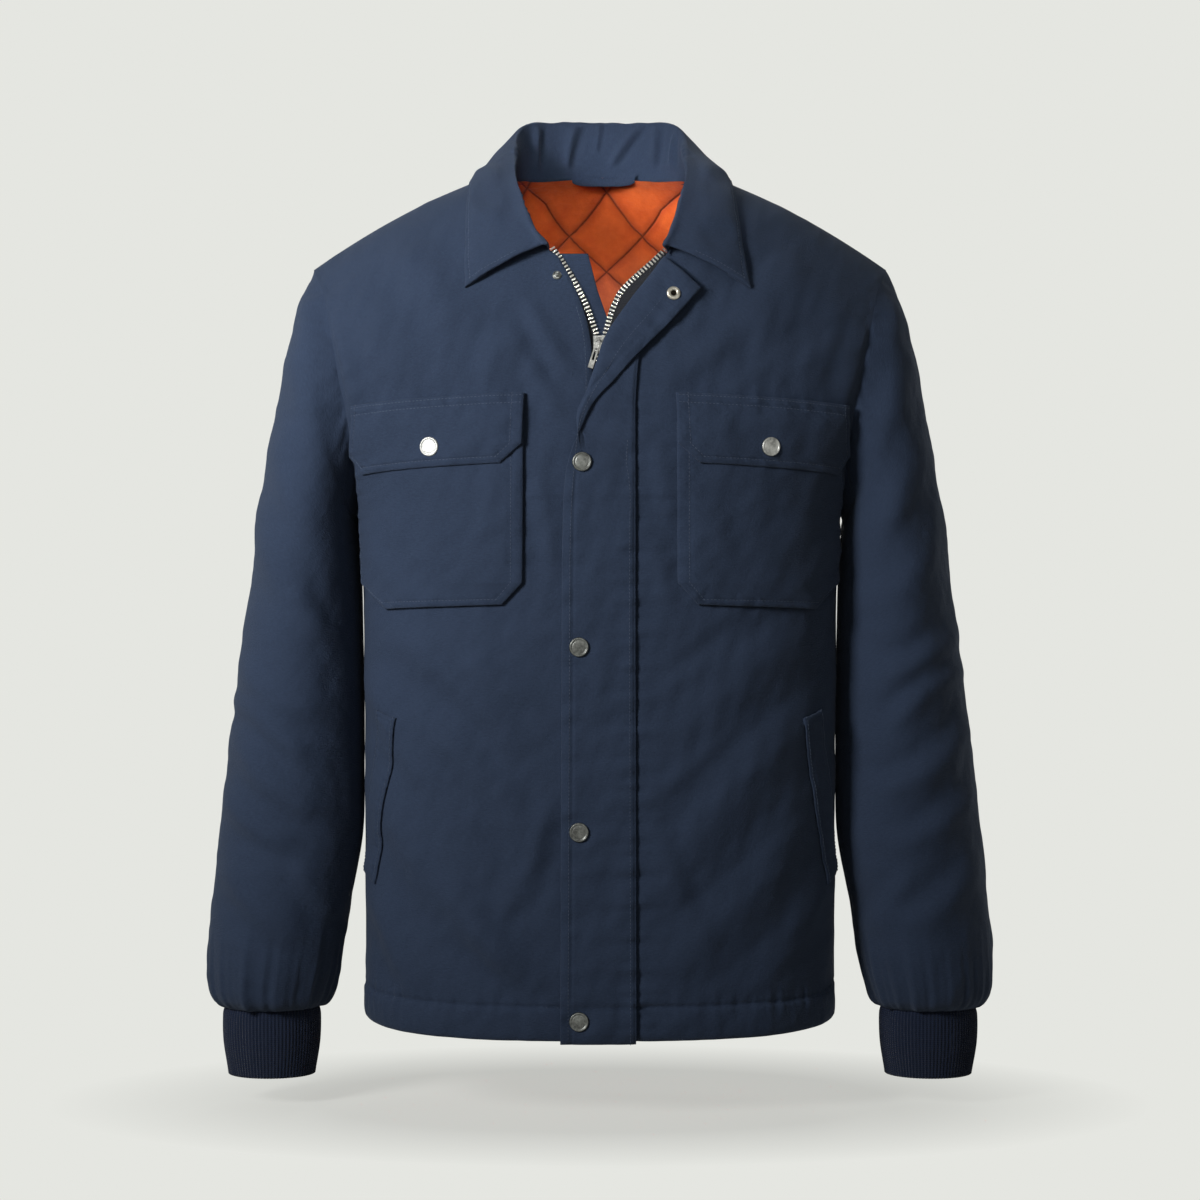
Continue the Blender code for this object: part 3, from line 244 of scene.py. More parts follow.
class Finish:
    """One material and the few ways its nodes are added."""

    def __init__(self, name, **constants):
        self.material = bpy.data.materials.new(name)
        self.material.use_nodes = True
        self.tree = self.material.node_tree
        self.shader = self.tree.nodes["Principled BSDF"]
        for socket, value in constants.items():
            self.shader.inputs[socket.replace("_", " ")].default_value = value

    def node(self, kind, settings=(), values=()):
        return [Wire(self, socket) for socket in add_node(self.tree, kind, settings, values)]

    def feed(self, **wires):
        """Links wires to the shader's sockets."""
        for name, wire in wires.items():
            self.tree.links.new(wire.socket, self.shader.inputs[name.replace("_", " ")])
        return self.material

    def place(self):
        """Object coordinates."""
        return self.node("ShaderNodeTexCoord")[3]

    def weave(self):
        """The piece's own cloth coordinates, in metres across and along the cloth."""
        return self.split(self.node("ShaderNodeUVMap", {"uv_map": "weave"})[0])[:2]

    def split(self, vector):
        return self.node("ShaderNodeSeparateXYZ", {}, {0: vector})

    def noise(self, vector, scale, detail=2.0, rough=0.5):
        return self.node("ShaderNodeTexNoise", {}, {"Vector": vector, "Scale": scale, "Detail": detail,
                                                    "Roughness": rough})[0]

    def wave(self, coordinate, turns):
        """A sine wave of a coordinate, between -1 and 1."""
        return self.node("ShaderNodeMath", {"operation": "SINE"}, {0: coordinate * (2 * math.pi * turns)})[0]

    def range(self, value, low, high, to_low=0.0, to_high=1.0):
        return self.node("ShaderNodeMapRange", {"clamp": True},
                         {"Value": value, "From Min": low, "From Max": high,
                          "To Min": to_low, "To Max": to_high})[0]

    def mixed(self, factor, first, second):
        """Colour between two colours or colour wires."""
        values = {0: factor}
        for index, colour in ((6, first), (7, second)):
            values[index] = colour if isinstance(colour, Wire) else (*colour, 1.0)
        return self.node("ShaderNodeMix", {"data_type": "RGBA", "clamp_factor": True}, values)[2]

    def bumped(self, height, distance, strength=1.0):
        return self.node("ShaderNodeBump", {}, {"Height": height, "Distance": distance,
                                                "Strength": strength})[0]


def floor_finish():
    """Studio paper: as bright as the studio far off, and shaded by the jacket close to it."""
    paper = Finish("studio_paper", Roughness=1.0, Base_Color=(0.80, 0.808, 0.770, 1.0))
    paper.shader.inputs["Specular IOR Level"].default_value = 0.0
    x, y, _ = paper.split(paper.place())
    reach = (x * x + y * y * 2.5) ** 0.5
    glow = paper.node("ShaderNodeEmission", {}, {"Color": (*STUDIO, 1.0)})[0]
    factor = paper.range(reach, 0.24, 0.46, 0.34, 0.0)
    mix = paper.node("ShaderNodeMixShader", {}, {0: factor, 1: glow})
    mixer = mix[0].socket.node
    paper.tree.links.new(paper.shader.outputs[0], mixer.inputs[2])
    paper.tree.links.new(mixer.outputs[0], paper.tree.nodes["Material Output"].inputs["Surface"])
    return paper.material


def make_floor():
    mesh = bpy.data.meshes.new("floor")
    shape = bmesh.new()
    bmesh.ops.create_circle(shape, cap_ends=True, segments=96, radius=3.0)
    bmesh.ops.translate(shape, vec=(0, 0, FLOOR_Z), verts=shape.verts)
    shape.to_mesh(mesh)
    shape.free()
    floor = placed("floor", mesh)
    mesh.materials.append(floor_finish())
    floor.visible_diffuse = False


make_floor()


# ================================================================ the cloth's form
def steady(value, low=0.0, high=1.0):
    """Smooth step of a value from low to high."""
    t = np.clip((np.asarray(value, float) - low) / (high - low), 0.0, 1.0)
    return t * t * (3 - 2 * t)


def bell(distance, width):
    """1 on a line, fading to nothing about two widths away."""
    return np.exp(-(distance / width) ** 2)


def rounded(distance, reach):
    """A rounded edge: 0 on the edge itself, rising to 1 at this reach from it."""
    return 1 - (1 - np.clip(distance / reach, 0, 1)) ** 2


def spans(points, axis=0):
    """Distances between neighbouring points along an axis of a line or a net."""
    return np.linalg.norm(np.diff(points, axis=axis), axis=-1)


def running(lengths):
    """Lengths summed from the start, with the start itself."""
    return np.concatenate([[0.0], np.cumsum(lengths)])


def curve_through(table, share):
    """Points of a smooth curve through a table's rows, at shares of its length in rows."""
    table = np.asarray(table, float)
    place = np.clip(np.asarray(share, float), 0.0, 1.0) * (len(table) - 1)
    index = np.minimum(place.astype(int), len(table) - 2)
    t = (place - index).reshape(place.shape + (1,) * (table.ndim - 1))
    a, b, c, d = (table[np.clip(index + k, 0, len(table) - 1)] for k in (-1, 0, 1, 2))
    return 0.5 * (2 * b + (c - a) * t + (2 * a - 5 * b + 4 * c - d) * t * t
                  + (3 * b - a - 3 * c + d) * t ** 3)


def along(table, share):
    """Points of a polyline at shares of its length."""
    table = np.asarray(table, float)
    steps = spans(table)
    places = running(steps)
    wanted = np.clip(np.asarray(share, float), 0, 1) * places[-1]
    return np.stack([np.interp(wanted, places, table[:, i]) for i in range(table.shape[1])], axis=-1)


def flowing(table, share):
    """Points of a smooth curve through a table's rows, at shares of its real length."""
    fine = curve_through(table, np.linspace(0, 1, 40 * len(table)))
    return along(fine, share)


HEIGHTS = np.arange(-0.75, 0.0901, 0.001)
EASE = np.exp(-np.linspace(-2.2, 2.2, 25) ** 2)
SECTIONS = [np.convolve(np.pad(np.interp(HEIGHTS, BODY[:, 0], BODY[:, i]), 12, mode="edge"),
                        EASE / EASE.sum(), "valid") for i in (1, 2, 3)]


def section(z):
    """Half width, depth in front and depth behind at a height."""
    return [np.interp(z, HEIGHTS, values) for values in SECTIONS]


def shoulder_z(x):
    run = np.abs(x) - 0.08
    return 0.013 - 0.33 * run - 1.15 * run * run


def body_point(turn, z, face):
    """Point of the shell. turn runs from 0 at the centre to a quarter turn at the side, with the
    sign of x, and face is -1 for the front or 1 for the back."""
    width, front, behind = section(z)
    x = width * np.maximum(0.0, np.sin(np.abs(turn))) ** (2 / ROUND)
    depth = np.where(np.asarray(face) < 0, front, behind)
    rise = np.clip((shoulder_z(x) - z) / SHOULDER_TURN, 0.0, 1.0)
    y = depth * np.maximum(0.0, np.cos(turn)) ** (2 / ROUND) * np.sqrt(1 - (1 - rise) ** 2)
    return np.stack(np.broadcast_arrays(np.sign(turn) * x, face * y, z), axis=-1)


def turn_at(x, z):
    """The turn of the shell's point at this x and height."""
    share = np.clip(np.abs(x) / section(z)[0], 0.0, 1.0)
    return np.sign(x) * np.arcsin(share ** (ROUND / 2))


def unit(vectors):
    return vectors / np.maximum(np.linalg.norm(vectors, axis=-1, keepdims=True), 1e-12)


def net_normals(net, closed=False):
    """Directions square to a net of rows x columns points."""
    across = np.roll(net, -1, axis=1) - np.roll(net, 1, axis=1) if closed else np.gradient(net, axis=1)
    return unit(np.cross(across, np.gradient(net, axis=0)))


def body_frame(x, z, face=-1):
    """Point of the shell before folds at x and height, and its outward direction."""
    x, z = np.broadcast_arrays(np.asarray(x, float), np.asarray(z, float))
    turn = turn_at(x, z)
    turn = np.where(np.abs(turn) < 1e-5, 1e-5, turn)
    here = body_point(turn, z, face)
    step = 0.012
    right = body_point(np.clip(turn + step, -QUARTER, QUARTER), z, face)
    left = body_point(np.clip(turn - step, -QUARTER, QUARTER), z, face)
    above = body_point(turn, np.minimum(z + 0.003, shoulder_z(x) - 0.0001), face)
    below = body_point(turn, z - 0.003, face)
    normal = unit(np.cross(right - left, above - below))
    outward = here * np.array([1.0, 2.0, 0.0]) + np.array([0, 0, 0.02])
    flip = np.sign(np.sum(normal * outward, axis=-1, keepdims=True))
    return here, normal * np.where(flip == 0, 1, flip)


# ---------------------------------------------------------------- folds and puckers
def ripple(place, length, seed):
    """An uneven wave along a line, about this long from crest to crest, between -1 and 1."""
    parts = np.random.RandomState(seed)
    total = 0.0
    for weight, pace in ((0.5, 1.0), (0.3, 1.7), (0.25, 0.62), (0.15, 2.9)):
        total = total + weight * np.sin(2 * math.pi * place / length * pace * parts.uniform(0.9, 1.1)
                                        + parts.uniform(0, 6.28))
    return total


def folds(x, z, table):
    """Height of soft folds: each row has the start and end of its crest, how far it bows, its
    half width and its height. A fold is steeper on its lower side, and a valley runs beside it."""
    total = np.zeros(np.broadcast(x, z).shape)
    for x0, z0, x1, z1, bow, width, height in table:
        dx, dz = x1 - x0, z1 - z0
        reach = math.hypot(dx, dz)
        share = ((x - x0) * dx + (z - z0) * dz) / reach ** 2
        aside = ((x - x0) * dz - (z - z0) * dx) / reach - bow * 4 * share * (1 - share)
        ends = np.exp(-np.abs((share - 0.5) / 0.46) ** 5)
        crest = bell(aside, width) - 0.55 * bell(aside - 1.5 * width, 0.9 * width)
        total += height * ends * crest
    return total


def from_line(x, z, line):
    """Distance from a polyline, and how far along it the nearest point is."""
    best = np.full(np.broadcast(x, z).shape, 1e9)
    place = np.zeros_like(best)
    start = 0.0
    for (x0, z0), (x1, z1) in zip(line, line[1:]):
        dx, dz = x1 - x0, z1 - z0
        reach = math.hypot(dx, dz)
        share = np.clip(((x - x0) * dx + (z - z0) * dz) / reach ** 2, 0, 1)
        gone = np.hypot(x - x0 - share * dx, z - z0 - share * dz)
        near = gone < best
        best = np.where(near, gone, best)
        place = np.where(near, start + share * reach, place)
        start += reach
    return best, place


def gathered(x, z, line, depth, pucker, length, reach, seed):
    """A stitched line: a narrow groove, and puckers square to it that die out."""
    gone, place = from_line(x, z, line)
    groove = -depth * bell(gone, 0.0016)
    return groove + pucker * bell(gone, reach) * ripple(place, length, seed)


def wadding(x, z, seed, size=0.055):
    """Slow unevenness of the filled cloth, about one high."""
    parts = np.random.RandomState(seed)
    total = np.zeros(np.broadcast(x, z).shape)
    for _ in range(14):
        heading, phase = parts.uniform(0, math.pi), parts.uniform(0, 6.28)
        pace = 2 * math.pi / (size * parts.uniform(0.55, 1.8))
        total += np.sin(pace * (x * math.cos(heading) + z * math.sin(heading)) + phase)
    return total / 5.0


# crests on the front: start x and z, end x and z, bow, half width, height
FRONT_FOLDS = [
    (-0.170, -0.372, -0.060, -0.470, -0.010, 0.016, 0.0034),
    (-0.150, -0.440, -0.045, -0.560, -0.012, 0.015, 0.0030),
    (-0.175, -0.500, -0.070, -0.640, 0.010, 0.017, 0.0034),
    (-0.110, -0.385, -0.045, -0.430, 0.004, 0.010, 0.0022),
    (-0.190, -0.400, -0.130, -0.500, 0.006, 0.012, 0.0026),
    (-0.120, -0.560, -0.050, -0.655, 0.008, 0.013, 0.0028),
    (-0.186, -0.585, -0.150, -0.665, 0.000, 0.010, 0.0024),
    (-0.080, -0.600, -0.040, -0.500, 0.006, 0.010, 0.0020),
    (-0.055, -0.150, -0.030, -0.200, 0.004, 0.009, 0.0018),
    (-0.058, -0.104, -0.021, -0.168, 0.003, 0.008, 0.0024),
    (-0.195, -0.130, -0.150, -0.165, 0.004, 0.014, 0.0024),
    (-0.170, -0.060, -0.120, -0.130, -0.010, 0.018, 0.0026),
    (-0.050, -0.240, -0.036, -0.330, 0.000, 0.008, 0.0014),
    (-0.052, -0.130, -0.100, -0.175, 0.006, 0.012, 0.0018),
    (-0.215, -0.120, -0.196, -0.190, 0.000, 0.010, 0.0024),
    (0.175, -0.372, 0.070, -0.450, 0.010, 0.016, 0.0032),
    (0.190, -0.430, 0.060, -0.560, 0.012, 0.017, 0.0036),
    (0.165, -0.520, 0.050, -0.640, -0.010, 0.016, 0.0032),
    (0.110, -0.380, 0.045, -0.420, -0.004, 0.010, 0.0022),
    (0.192, -0.560, 0.120, -0.660, -0.006, 0.013, 0.0028),
    (0.085, -0.620, 0.045, -0.520, -0.006, 0.010, 0.0020),
    (0.100, -0.455, 0.045, -0.500, -0.004, 0.011, 0.0022),
    (0.050, -0.170, 0.110, -0.120, 0.006, 0.012, 0.0022),
    (0.170, -0.065, 0.120, -0.140, 0.010, 0.018, 0.0026),
    (0.200, -0.130, 0.150, -0.165, -0.004, 0.014, 0.0024),
    (0.215, -0.120, 0.196, -0.190, 0.000, 0.010, 0.0024),
    (0.045, -0.215, 0.056, -0.290, 0.000, 0.008, 0.0014),
    (0.060, -0.360, 0.040, -0.300, 0.000, 0.009, 0.0016)]
BACK_FOLDS = [
    (-0.200, -0.150, -0.120, -0.240, 0.010, 0.016, 0.0030),
    (0.205, -0.160, 0.130, -0.250, -0.010, 0.017, 0.0030),
    (-0.180, -0.300, -0.060, -0.400, -0.012, 0.020, 0.0036),
    (0.170, -0.320, 0.040, -0.430, 0.012, 0.020, 0.0036),
    (-0.110, -0.420, 0.020, -0.520, -0.010, 0.020, 0.0034),
    (0.150, -0.470, 0.030, -0.590, 0.010, 0.018, 0.0034),
    (-0.185, -0.480, -0.080, -0.600, 0.010, 0.017, 0.0034),
    (-0.060, -0.560, 0.010, -0.660, 0.006, 0.015, 0.0026),
    (0.120, -0.600, 0.080, -0.670, 0.000, 0.012, 0.0024),
    (-0.150, -0.600, -0.120, -0.670, 0.000, 0.012, 0.0024),
    (-0.060, -0.050, 0.060, -0.060, -0.012, 0.022, 0.0026),
    (0.000, -0.120, 0.010, -0.260, 0.006, 0.018, 0.0020)]
# the same on each sleeve, by its body side: the wearer's right has x below 0
SLEEVE_FOLDS = {
    -1: [
        (-0.300, -0.395, -0.226, -0.440, 0.008, 0.012, 0.0032),
        (-0.306, -0.425, -0.240, -0.478, -0.006, 0.010, 0.0034),
        (-0.300, -0.462, -0.222, -0.520, 0.008, 0.012, 0.0030),
        (-0.312, -0.505, -0.250, -0.545, 0.006, 0.010, 0.0026),
        (-0.225, -0.380, -0.250, -0.335, 0.000, 0.010, 0.0022),
        (-0.266, -0.210, -0.232, -0.290, 0.006, 0.014, 0.0026),
        (-0.285, -0.250, -0.248, -0.350, 0.006, 0.015, 0.0028),
        (-0.310, -0.560, -0.240, -0.625, 0.006, 0.012, 0.0028),
        (-0.250, -0.560, -0.215, -0.610, 0.000, 0.010, 0.0024),
        (-0.255, -0.140, -0.235, -0.200, 0.000, 0.012, 0.0022)],
    1: [
        (0.300, -0.365, 0.228, -0.410, -0.008, 0.012, 0.0032),
        (0.305, -0.400, 0.236, -0.452, 0.006, 0.010, 0.0034),
        (0.306, -0.448, 0.226, -0.505, -0.008, 0.012, 0.0032),
        (0.312, -0.500, 0.240, -0.548, -0.006, 0.011, 0.0026),
        (0.262, -0.210, 0.230, -0.290, -0.006, 0.014, 0.0024),
        (0.285, -0.255, 0.245, -0.345, -0.006, 0.015, 0.0028),
        (0.312, -0.560, 0.245, -0.615, -0.006, 0.012, 0.0028),
        (0.255, -0.570, 0.220, -0.620, 0.000, 0.010, 0.0022),
        (0.256, -0.140, 0.236, -0.205, 0.000, 0.012, 0.0022)]}
HEM_ZONE = (-0.62, -0.66)   # heights between which the hem's relief starts
HEM_STITCH = 0.0265         # height of the hem's stitch line over its edge
FLY_SEAM = [(0.0640, -0.0920), (0.0454, -0.1193), (0.0322, -0.1480), (0.0285, -0.1800), (0.0280, -0.3000),
            (0.0284, -0.5380), (0.0287, -0.6990)]
POCKET_LINES = [[(-0.1992, -0.190), (-0.0612, -0.1825)],
                [(-0.1960, -0.215), (-0.1938, -0.3320), (-0.1724, -0.3530), (-0.0785, -0.3490),
                 (-0.0620, -0.3320), (-0.0614, -0.208)]]


def hem_z(turn):
    return HEM_SIDE_Z - HEM_DROP * np.maximum(0.0, np.cos(turn)) ** 0.5


def puffed_hem(turn, z, seed):
    """Relief of the turned hem: a roll under its stitch line, with puckers along the line."""
    up = (z - hem_z(turn)) / HEM_STITCH
    roll = 0.0024 * np.where(up < 1.0, np.sqrt(np.clip(1 - (2 * np.clip(up, 0, 1) - 1) ** 2, 0, 1)), 0.0)
    width = turn * 0.19
    near = bell(up - 1.0, 0.32)
    pucker = 0.0009 * near * ripple(width, 0.013, seed) + 0.0008 * near * ripple(width, 0.031, seed + 1)
    lumps = 0.0004 * bell(up - 0.5, 0.4) * ripple(width, 0.019, seed + 2)
    groove = -0.0015 * bell(z - hem_z(turn) - HEM_STITCH, 0.0016)
    return roll + pucker + lumps + groove


def shell_relief(x, z, own, seeds, sewn=()):
    """A shell panel's own folds together with its hem, stitched lines and puckered armholes."""
    turn = turn_at(x, z)
    away = steady(np.abs(turn), QUARTER, QUARTER - 0.22)
    raised = own + puffed_hem(turn, z, seeds[0]) * steady(z, *HEM_ZONE)
    for line in sewn:
        raised = raised + gathered(line[0], z, *line[1:])
    seam = [(-a, b) for a, b in reversed(ARMHOLE)]
    for mirror, seed in zip((1, -1), seeds[1:]):
        gone, place = from_line(mirror * x, z, seam)
        raised = raised + 0.0009 * bell(gone, 0.014) * ripple(place, 0.028, seed)
        away = away * steady(gone, 0.0, 0.006)
    return raised * away


def front_relief(x, z):
    """Height of the fronts' folds, puckers and hem over their plain form."""
    x, z = np.broadcast_arrays(np.asarray(x, float), np.asarray(z, float))
    own = np.where(x < 0, 1.45, 1.0) * folds(x, z, FRONT_FOLDS)
    own = own + 0.0007 * wadding(x, z, 5) + 0.00045 * wadding(x, z, 6, 0.022)
    sewn = [(x, FLY_SEAM, 0.0006, 0.0013, 0.024, 0.020, 21)]
    sewn += [(mirror * x, line, 0.0, 0.0005, 0.021, 0.012, seed)
             for mirror, seed in ((1, 31), (-1, 37)) for line in POCKET_LINES]
    return shell_relief(x, z, own, (11, 41, 47), sewn)


def back_relief(x, z):
    own = folds(x, z, BACK_FOLDS) + 0.0007 * wadding(x, z, 15) + 0.00035 * wadding(x, z, 16, 0.022)
    return shell_relief(x, z, own, (51, 61, 67))


def settled(x, z, raised, spots):
    """Brings a cloth's height down to the base of the metal pieces clenched into it."""
    for spot_x, spot_z, level in spots:
        near = np.exp(-(np.hypot(x - spot_x, z - spot_z) / 0.0115) ** 4)
        raised = raised * (1 - near) + (level - 0.0003) * near
    return raised


def over_front(x, z, lift, share=1.0):
    """Points over the folded front at this height above it, and the directions out of it."""
    here, normal = body_frame(x, z)
    raised = np.asarray(lift) + share * front_relief(x, z)
    return here + normal * raised[..., None], normal


# ---------------------------------------------------------------- making pieces
def net_faces(rows, columns, closed=False):
    across = np.arange(columns if closed else columns - 1)
    after = (across + 1) % columns
    start = np.arange(rows - 1)[:, None] * columns
    return np.stack([start + across, start + after, start + columns + after, start + columns + across],
                    axis=-1).reshape(-1, 4)


def cloth_lengths(net, closed=False):
    """Distances over the cloth along a net's rows and columns, in metres, for its weave."""
    across = spans(net, 1).mean(axis=0)
    down = spans(net).mean(axis=1)
    u = running(across)
    v = running(down)
    if closed:
        u = np.append(u, u[-1] + across.mean())
    return np.meshgrid(u, v)


def net_piece(name, net, finishes, slot, closed=False, flip=False, weave=None, joined=None):
    """A cloth piece from a net of points, with its own cloth coordinates. Two halves of a net are
    joined at a column up to a row, and stand apart above it."""
    rows, columns = net.shape[:2]
    faces = net_faces(rows, columns, closed)
    across = np.arange(columns if closed else columns - 1)
    if joined:
        column, upto = joined
        across = np.delete(across, column)
        faces = faces.reshape(rows - 1, columns - 1, 4)[:, across].reshape(-1, 4)
        faces = np.where(np.isin(faces, np.arange(upto) * columns + column + 1), faces - 1, faces)
    used, faces = np.unique(faces, return_inverse=True)
    faces = faces.reshape(-1, 4)
    mesh = bpy.data.meshes.new(name + "_cloth")
    mesh.from_pydata(net.reshape(-1, 3)[used].tolist(), [], (faces[:, ::-1] if flip else faces).tolist())
    u, v = cloth_lengths(net, closed) if weave is None else weave
    wide = u.shape[1]
    start = np.arange(rows - 1)[:, None] * wide
    loops = np.stack([start + across, start + across + 1, start + wide + across + 1, start + wide + across],
                     axis=-1).reshape(-1, 4)
    loops = (loops[:, ::-1] if flip else loops).ravel()
    layer = mesh.uv_layers.new(name="weave")
    layer.data.foreach_set("uv", np.stack([u.ravel()[loops], v.ravel()[loops]], axis=-1).ravel())
    mesh.polygons.foreach_set("use_smooth", np.ones(len(faces), bool))
    obj = placed(name + "_cloth", mesh)
    return finished(obj, finishes, slot, name)


def finished(obj, finish, slot, *stands_for):
    obj.data.materials.clear()
    obj.data.materials.append(finish)
    if stands_for:
        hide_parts(*stands_for)
    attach(obj, "jacket")
    return obj


def rolled_edges(net, normals, sides, depth=CLOTH, tuck=0.0):
    """Turns the named sides of a net under, along its own inside, so that the cloth has a thickness."""
    for side in sides:
        axis, last = (0 if "row" in side else 1), side.startswith("last")
        points, out = (np.moveaxis(a, axis, 0)[::-1 if last else 1] for a in (net, normals))
        step = float(np.linalg.norm(points[1] - points[0], axis=-1).mean())
        reach = min(max(1, int(round((0.0016 + tuck) / step))), len(points) // 3)
        inside = unit(points[min(reach, 3)] - points[0])
        under = [points[k] - out[k] * depth for k in np.unique(np.linspace(reach, 1, 5).astype(int))[::-1]]
        curl = [points[0] - out[0] * depth * off + inside * depth * back
                for off, back in ((0.95, 0.05), (0.55, -0.22), (0.12, -0.10))]
        added = [*under, *curl]
        points = np.concatenate([np.stack(added), points])
        out = np.concatenate([np.repeat(out[:1], len(added), axis=0), out])
        net, normals = (np.moveaxis(a[::-1 if last else 1], 0, axis) for a in (points, out))
    return net, normals


# ---------------------------------------------------------------- stitch lines
STITCH_LINES = []       # points and directions of every visible stitch line


def sampled(net, rows, columns):
    """Points of a net at fractions of its rows and columns."""
    r = np.clip(np.asarray(rows, float), 0, 1) * (net.shape[0] - 1)
    c = np.clip(np.asarray(columns, float), 0, 1) * (net.shape[1] - 1)
    r0, c0 = np.minimum(r.astype(int), net.shape[0] - 2), np.minimum(c.astype(int), net.shape[1] - 2)
    t, u = (r - r0)[:, None], (c - c0)[:, None]
    return ((net[r0, c0] * (1 - u) + net[r0, c0 + 1] * u) * (1 - t)
            + (net[r0 + 1, c0] * (1 - u) + net[r0 + 1, c0 + 1] * u) * t)


def sew(points, directions, proud=0.00018):
    STITCH_LINES.append((points + directions * proud, directions))


def sew_on(net, normals, rows, columns):
    """A stitch line over a net, through fractions of its rows and columns."""
    rows, columns = np.broadcast_arrays(np.asarray(rows, float), np.asarray(columns, float))
    sew(sampled(net, rows, columns), unit(sampled(normals, rows, columns)))


def sew_round(net, normals, inset, sides=("left", "bottom", "right"), start=0.0):
    """A stitch line at an even distance inside a laid piece's sides."""
    across = spans(net, 1).sum(axis=1)
    down = float(spans(net).sum(axis=0).mean())
    low = 1 - inset / down
    rows = np.linspace(start, low, 160)
    width = np.interp(rows, np.linspace(0, 1, len(across)), across)
    left, right = inset / width, 1 - inset / width
    if "left" in sides:
        sew_on(net, normals, rows, left)
    if "right" in sides:
        sew_on(net, normals, rows, right)
    if "bottom" in sides:
        sew_on(net, normals, low, np.linspace(left[-1], right[-1], 120))


# ---------------------------------------------------------------- shell panels
# rows of the pattern: to the armpit, along the armhole, along the neck
BODY_ROWS, ARM_ROWS, NECK_ROWS = 10, 12, 5


def row_places(fineness):
    """Where a panel's rows of points lie: close at the turned hem and where the shoulder rounds over."""
    count = BODY_ROWS + ARM_ROWS
    top = 1 - (1 - np.linspace(0, 1, int(45 * fineness))) ** 2
    below = [np.linspace(start, end, int(many * fineness))[:-1]
             for start, end, many in ((0, 1.2, 34), (1.2, BODY_ROWS, 130), (BODY_ROWS, count - 2, 76))]
    return np.concatenate([*below, count - 2 + 2 * top])


def panel_turns(edge, neckline, fineness, columns):
    """Turn and height of each point of a half panel, from its edge to the side and up to the shoulder."""
    count = BODY_ROWS + ARM_ROWS
    climb = count - NECK_ROWS
    place = row_places(fineness)
    side_z = np.interp(place, [0, BODY_ROWS], [HEM_SIDE_Z, ARMPIT_Z])
    hole = flowing(ARMHOLE, (place - BODY_ROWS) / ARM_ROWS)
    high = place > BODY_ROWS
    side_z = np.where(high, hole[:, 1], side_z)
    side_turn = np.where(high, turn_at(hole[:, 0], hole[:, 1]), QUARTER)
    low, top = EDGE_FOOT_Z - 0.0005, edge[-1][1]
    edge_z = np.interp(place, [0, BODY_ROWS, climb], [low, ARMPIT_Z + 0.01, top])
    fine = curve_through(edge, np.linspace(0, 1, 200))
    edge_x = np.interp(edge_z, fine[:, 1], fine[:, 0])
    neck = flowing([*neckline, (NECK_POINT_X, float(shoulder_z(NECK_POINT_X)))], (place - climb) / NECK_ROWS)
    over = place > climb
    edge_x, edge_z = np.where(over, neck[:, 0], edge_x), np.where(over, neck[:, 1], edge_z)
    edge_turn = turn_at(edge_x, edge_z)
    share = np.linspace(0, 1, columns)[None, :]
    turn = edge_turn[:, None] * (1 - share) + side_turn[:, None] * share
    z = edge_z[:, None] * (1 - share) + side_z[:, None] * share
    base = edge_z[0] * (1 - share) + side_z[0] * share
    settle = np.clip(1 - place[:, None] / 1.5, 0, 1)
    z = z + (hem_z(turn) - base) * settle
    ridge = shoulder_z(section(z[-1])[0] * np.sin(turn[-1]) ** (2 / ROUND))
    return turn, z + (ridge - z[-1]) * steady(place, count - 6, count)[:, None]


def outward_normals(net, turn):
    """Directions out of a half panel's net: level at the side seam, and upright along the shoulder."""
    normals = net_normals(net)
    outward = net * np.array([1.0, 2.0, 0.0]) + np.array([0, 0, 0.02])
    normals = normals * np.sign(np.sum(normals * outward, axis=-1))[..., None]
    normals[:, -1] = unit(normals[:, -1] * np.where(np.abs(turn[:, -1:]) > 1.57, [1.0, 0.0, 1.0], 1.0))
    slope = np.sign(net[-1, :, 0]) * (0.33 + 2.3 * (np.abs(net[-1, :, 0]) - 0.08))
    normals[-1] = unit(np.stack([slope, 0 * slope, 1 + 0 * slope], axis=-1))
    return normals


def shell_net(edge, neckline, side, face, relief, fineness=1.0, columns=108):
    """Points and outward directions of a half panel's shell."""
    turn, z = panel_turns(edge, neckline, fineness, columns)
    net = body_point(turn * side, z, face)
    normals = outward_normals(net, turn)
    raised = relief(net[..., 0], net[..., 2]) * steady(shoulder_z(net[..., 0]) - z, 0.0, 0.004)
    return net + normals * raised[..., None], normals


def faces_out(net, normals):
    """Whether a net's own faces already point along its directions."""
    return float(np.sum(net_normals(net) * normals)) > 0


def back_halves(make):
    """The arrays of the back's two half panels, each pair joined at the centre."""
    centre = [(0.0, EDGE_FOOT_Z), (0.0, BACK_NECK[0][1])]
    right, left = make(centre, BACK_NECK, -1, 1), make(centre, BACK_NECK, 1, 1)
    return [np.concatenate([a[:, ::-1], b], axis=1) for a, b in zip(right, left)]


def rows_below_neck(fineness):
    return int(np.sum(row_places(fineness) <= BODY_ROWS + ARM_ROWS - NECK_ROWS))


def make_fronts(cloth):
    for name, edge, neckline, side in (("front_right", RIGHT_EDGE, RIGHT_NECK, -1),
                                       ("front_left", LEFT_EDGE, LEFT_NECK, 1)):
        net, normals = shell_net(edge, neckline, side, -1, front_relief)
        net, normals = rolled_edges(net, normals, ("first_column",), tuck=0.004)
        net, normals = rolled_edges(net, normals, ("first_row",), tuck=HEM_TUCK)
        piece = net_piece(name, net, cloth, "navy_twill", flip=not faces_out(net, normals))


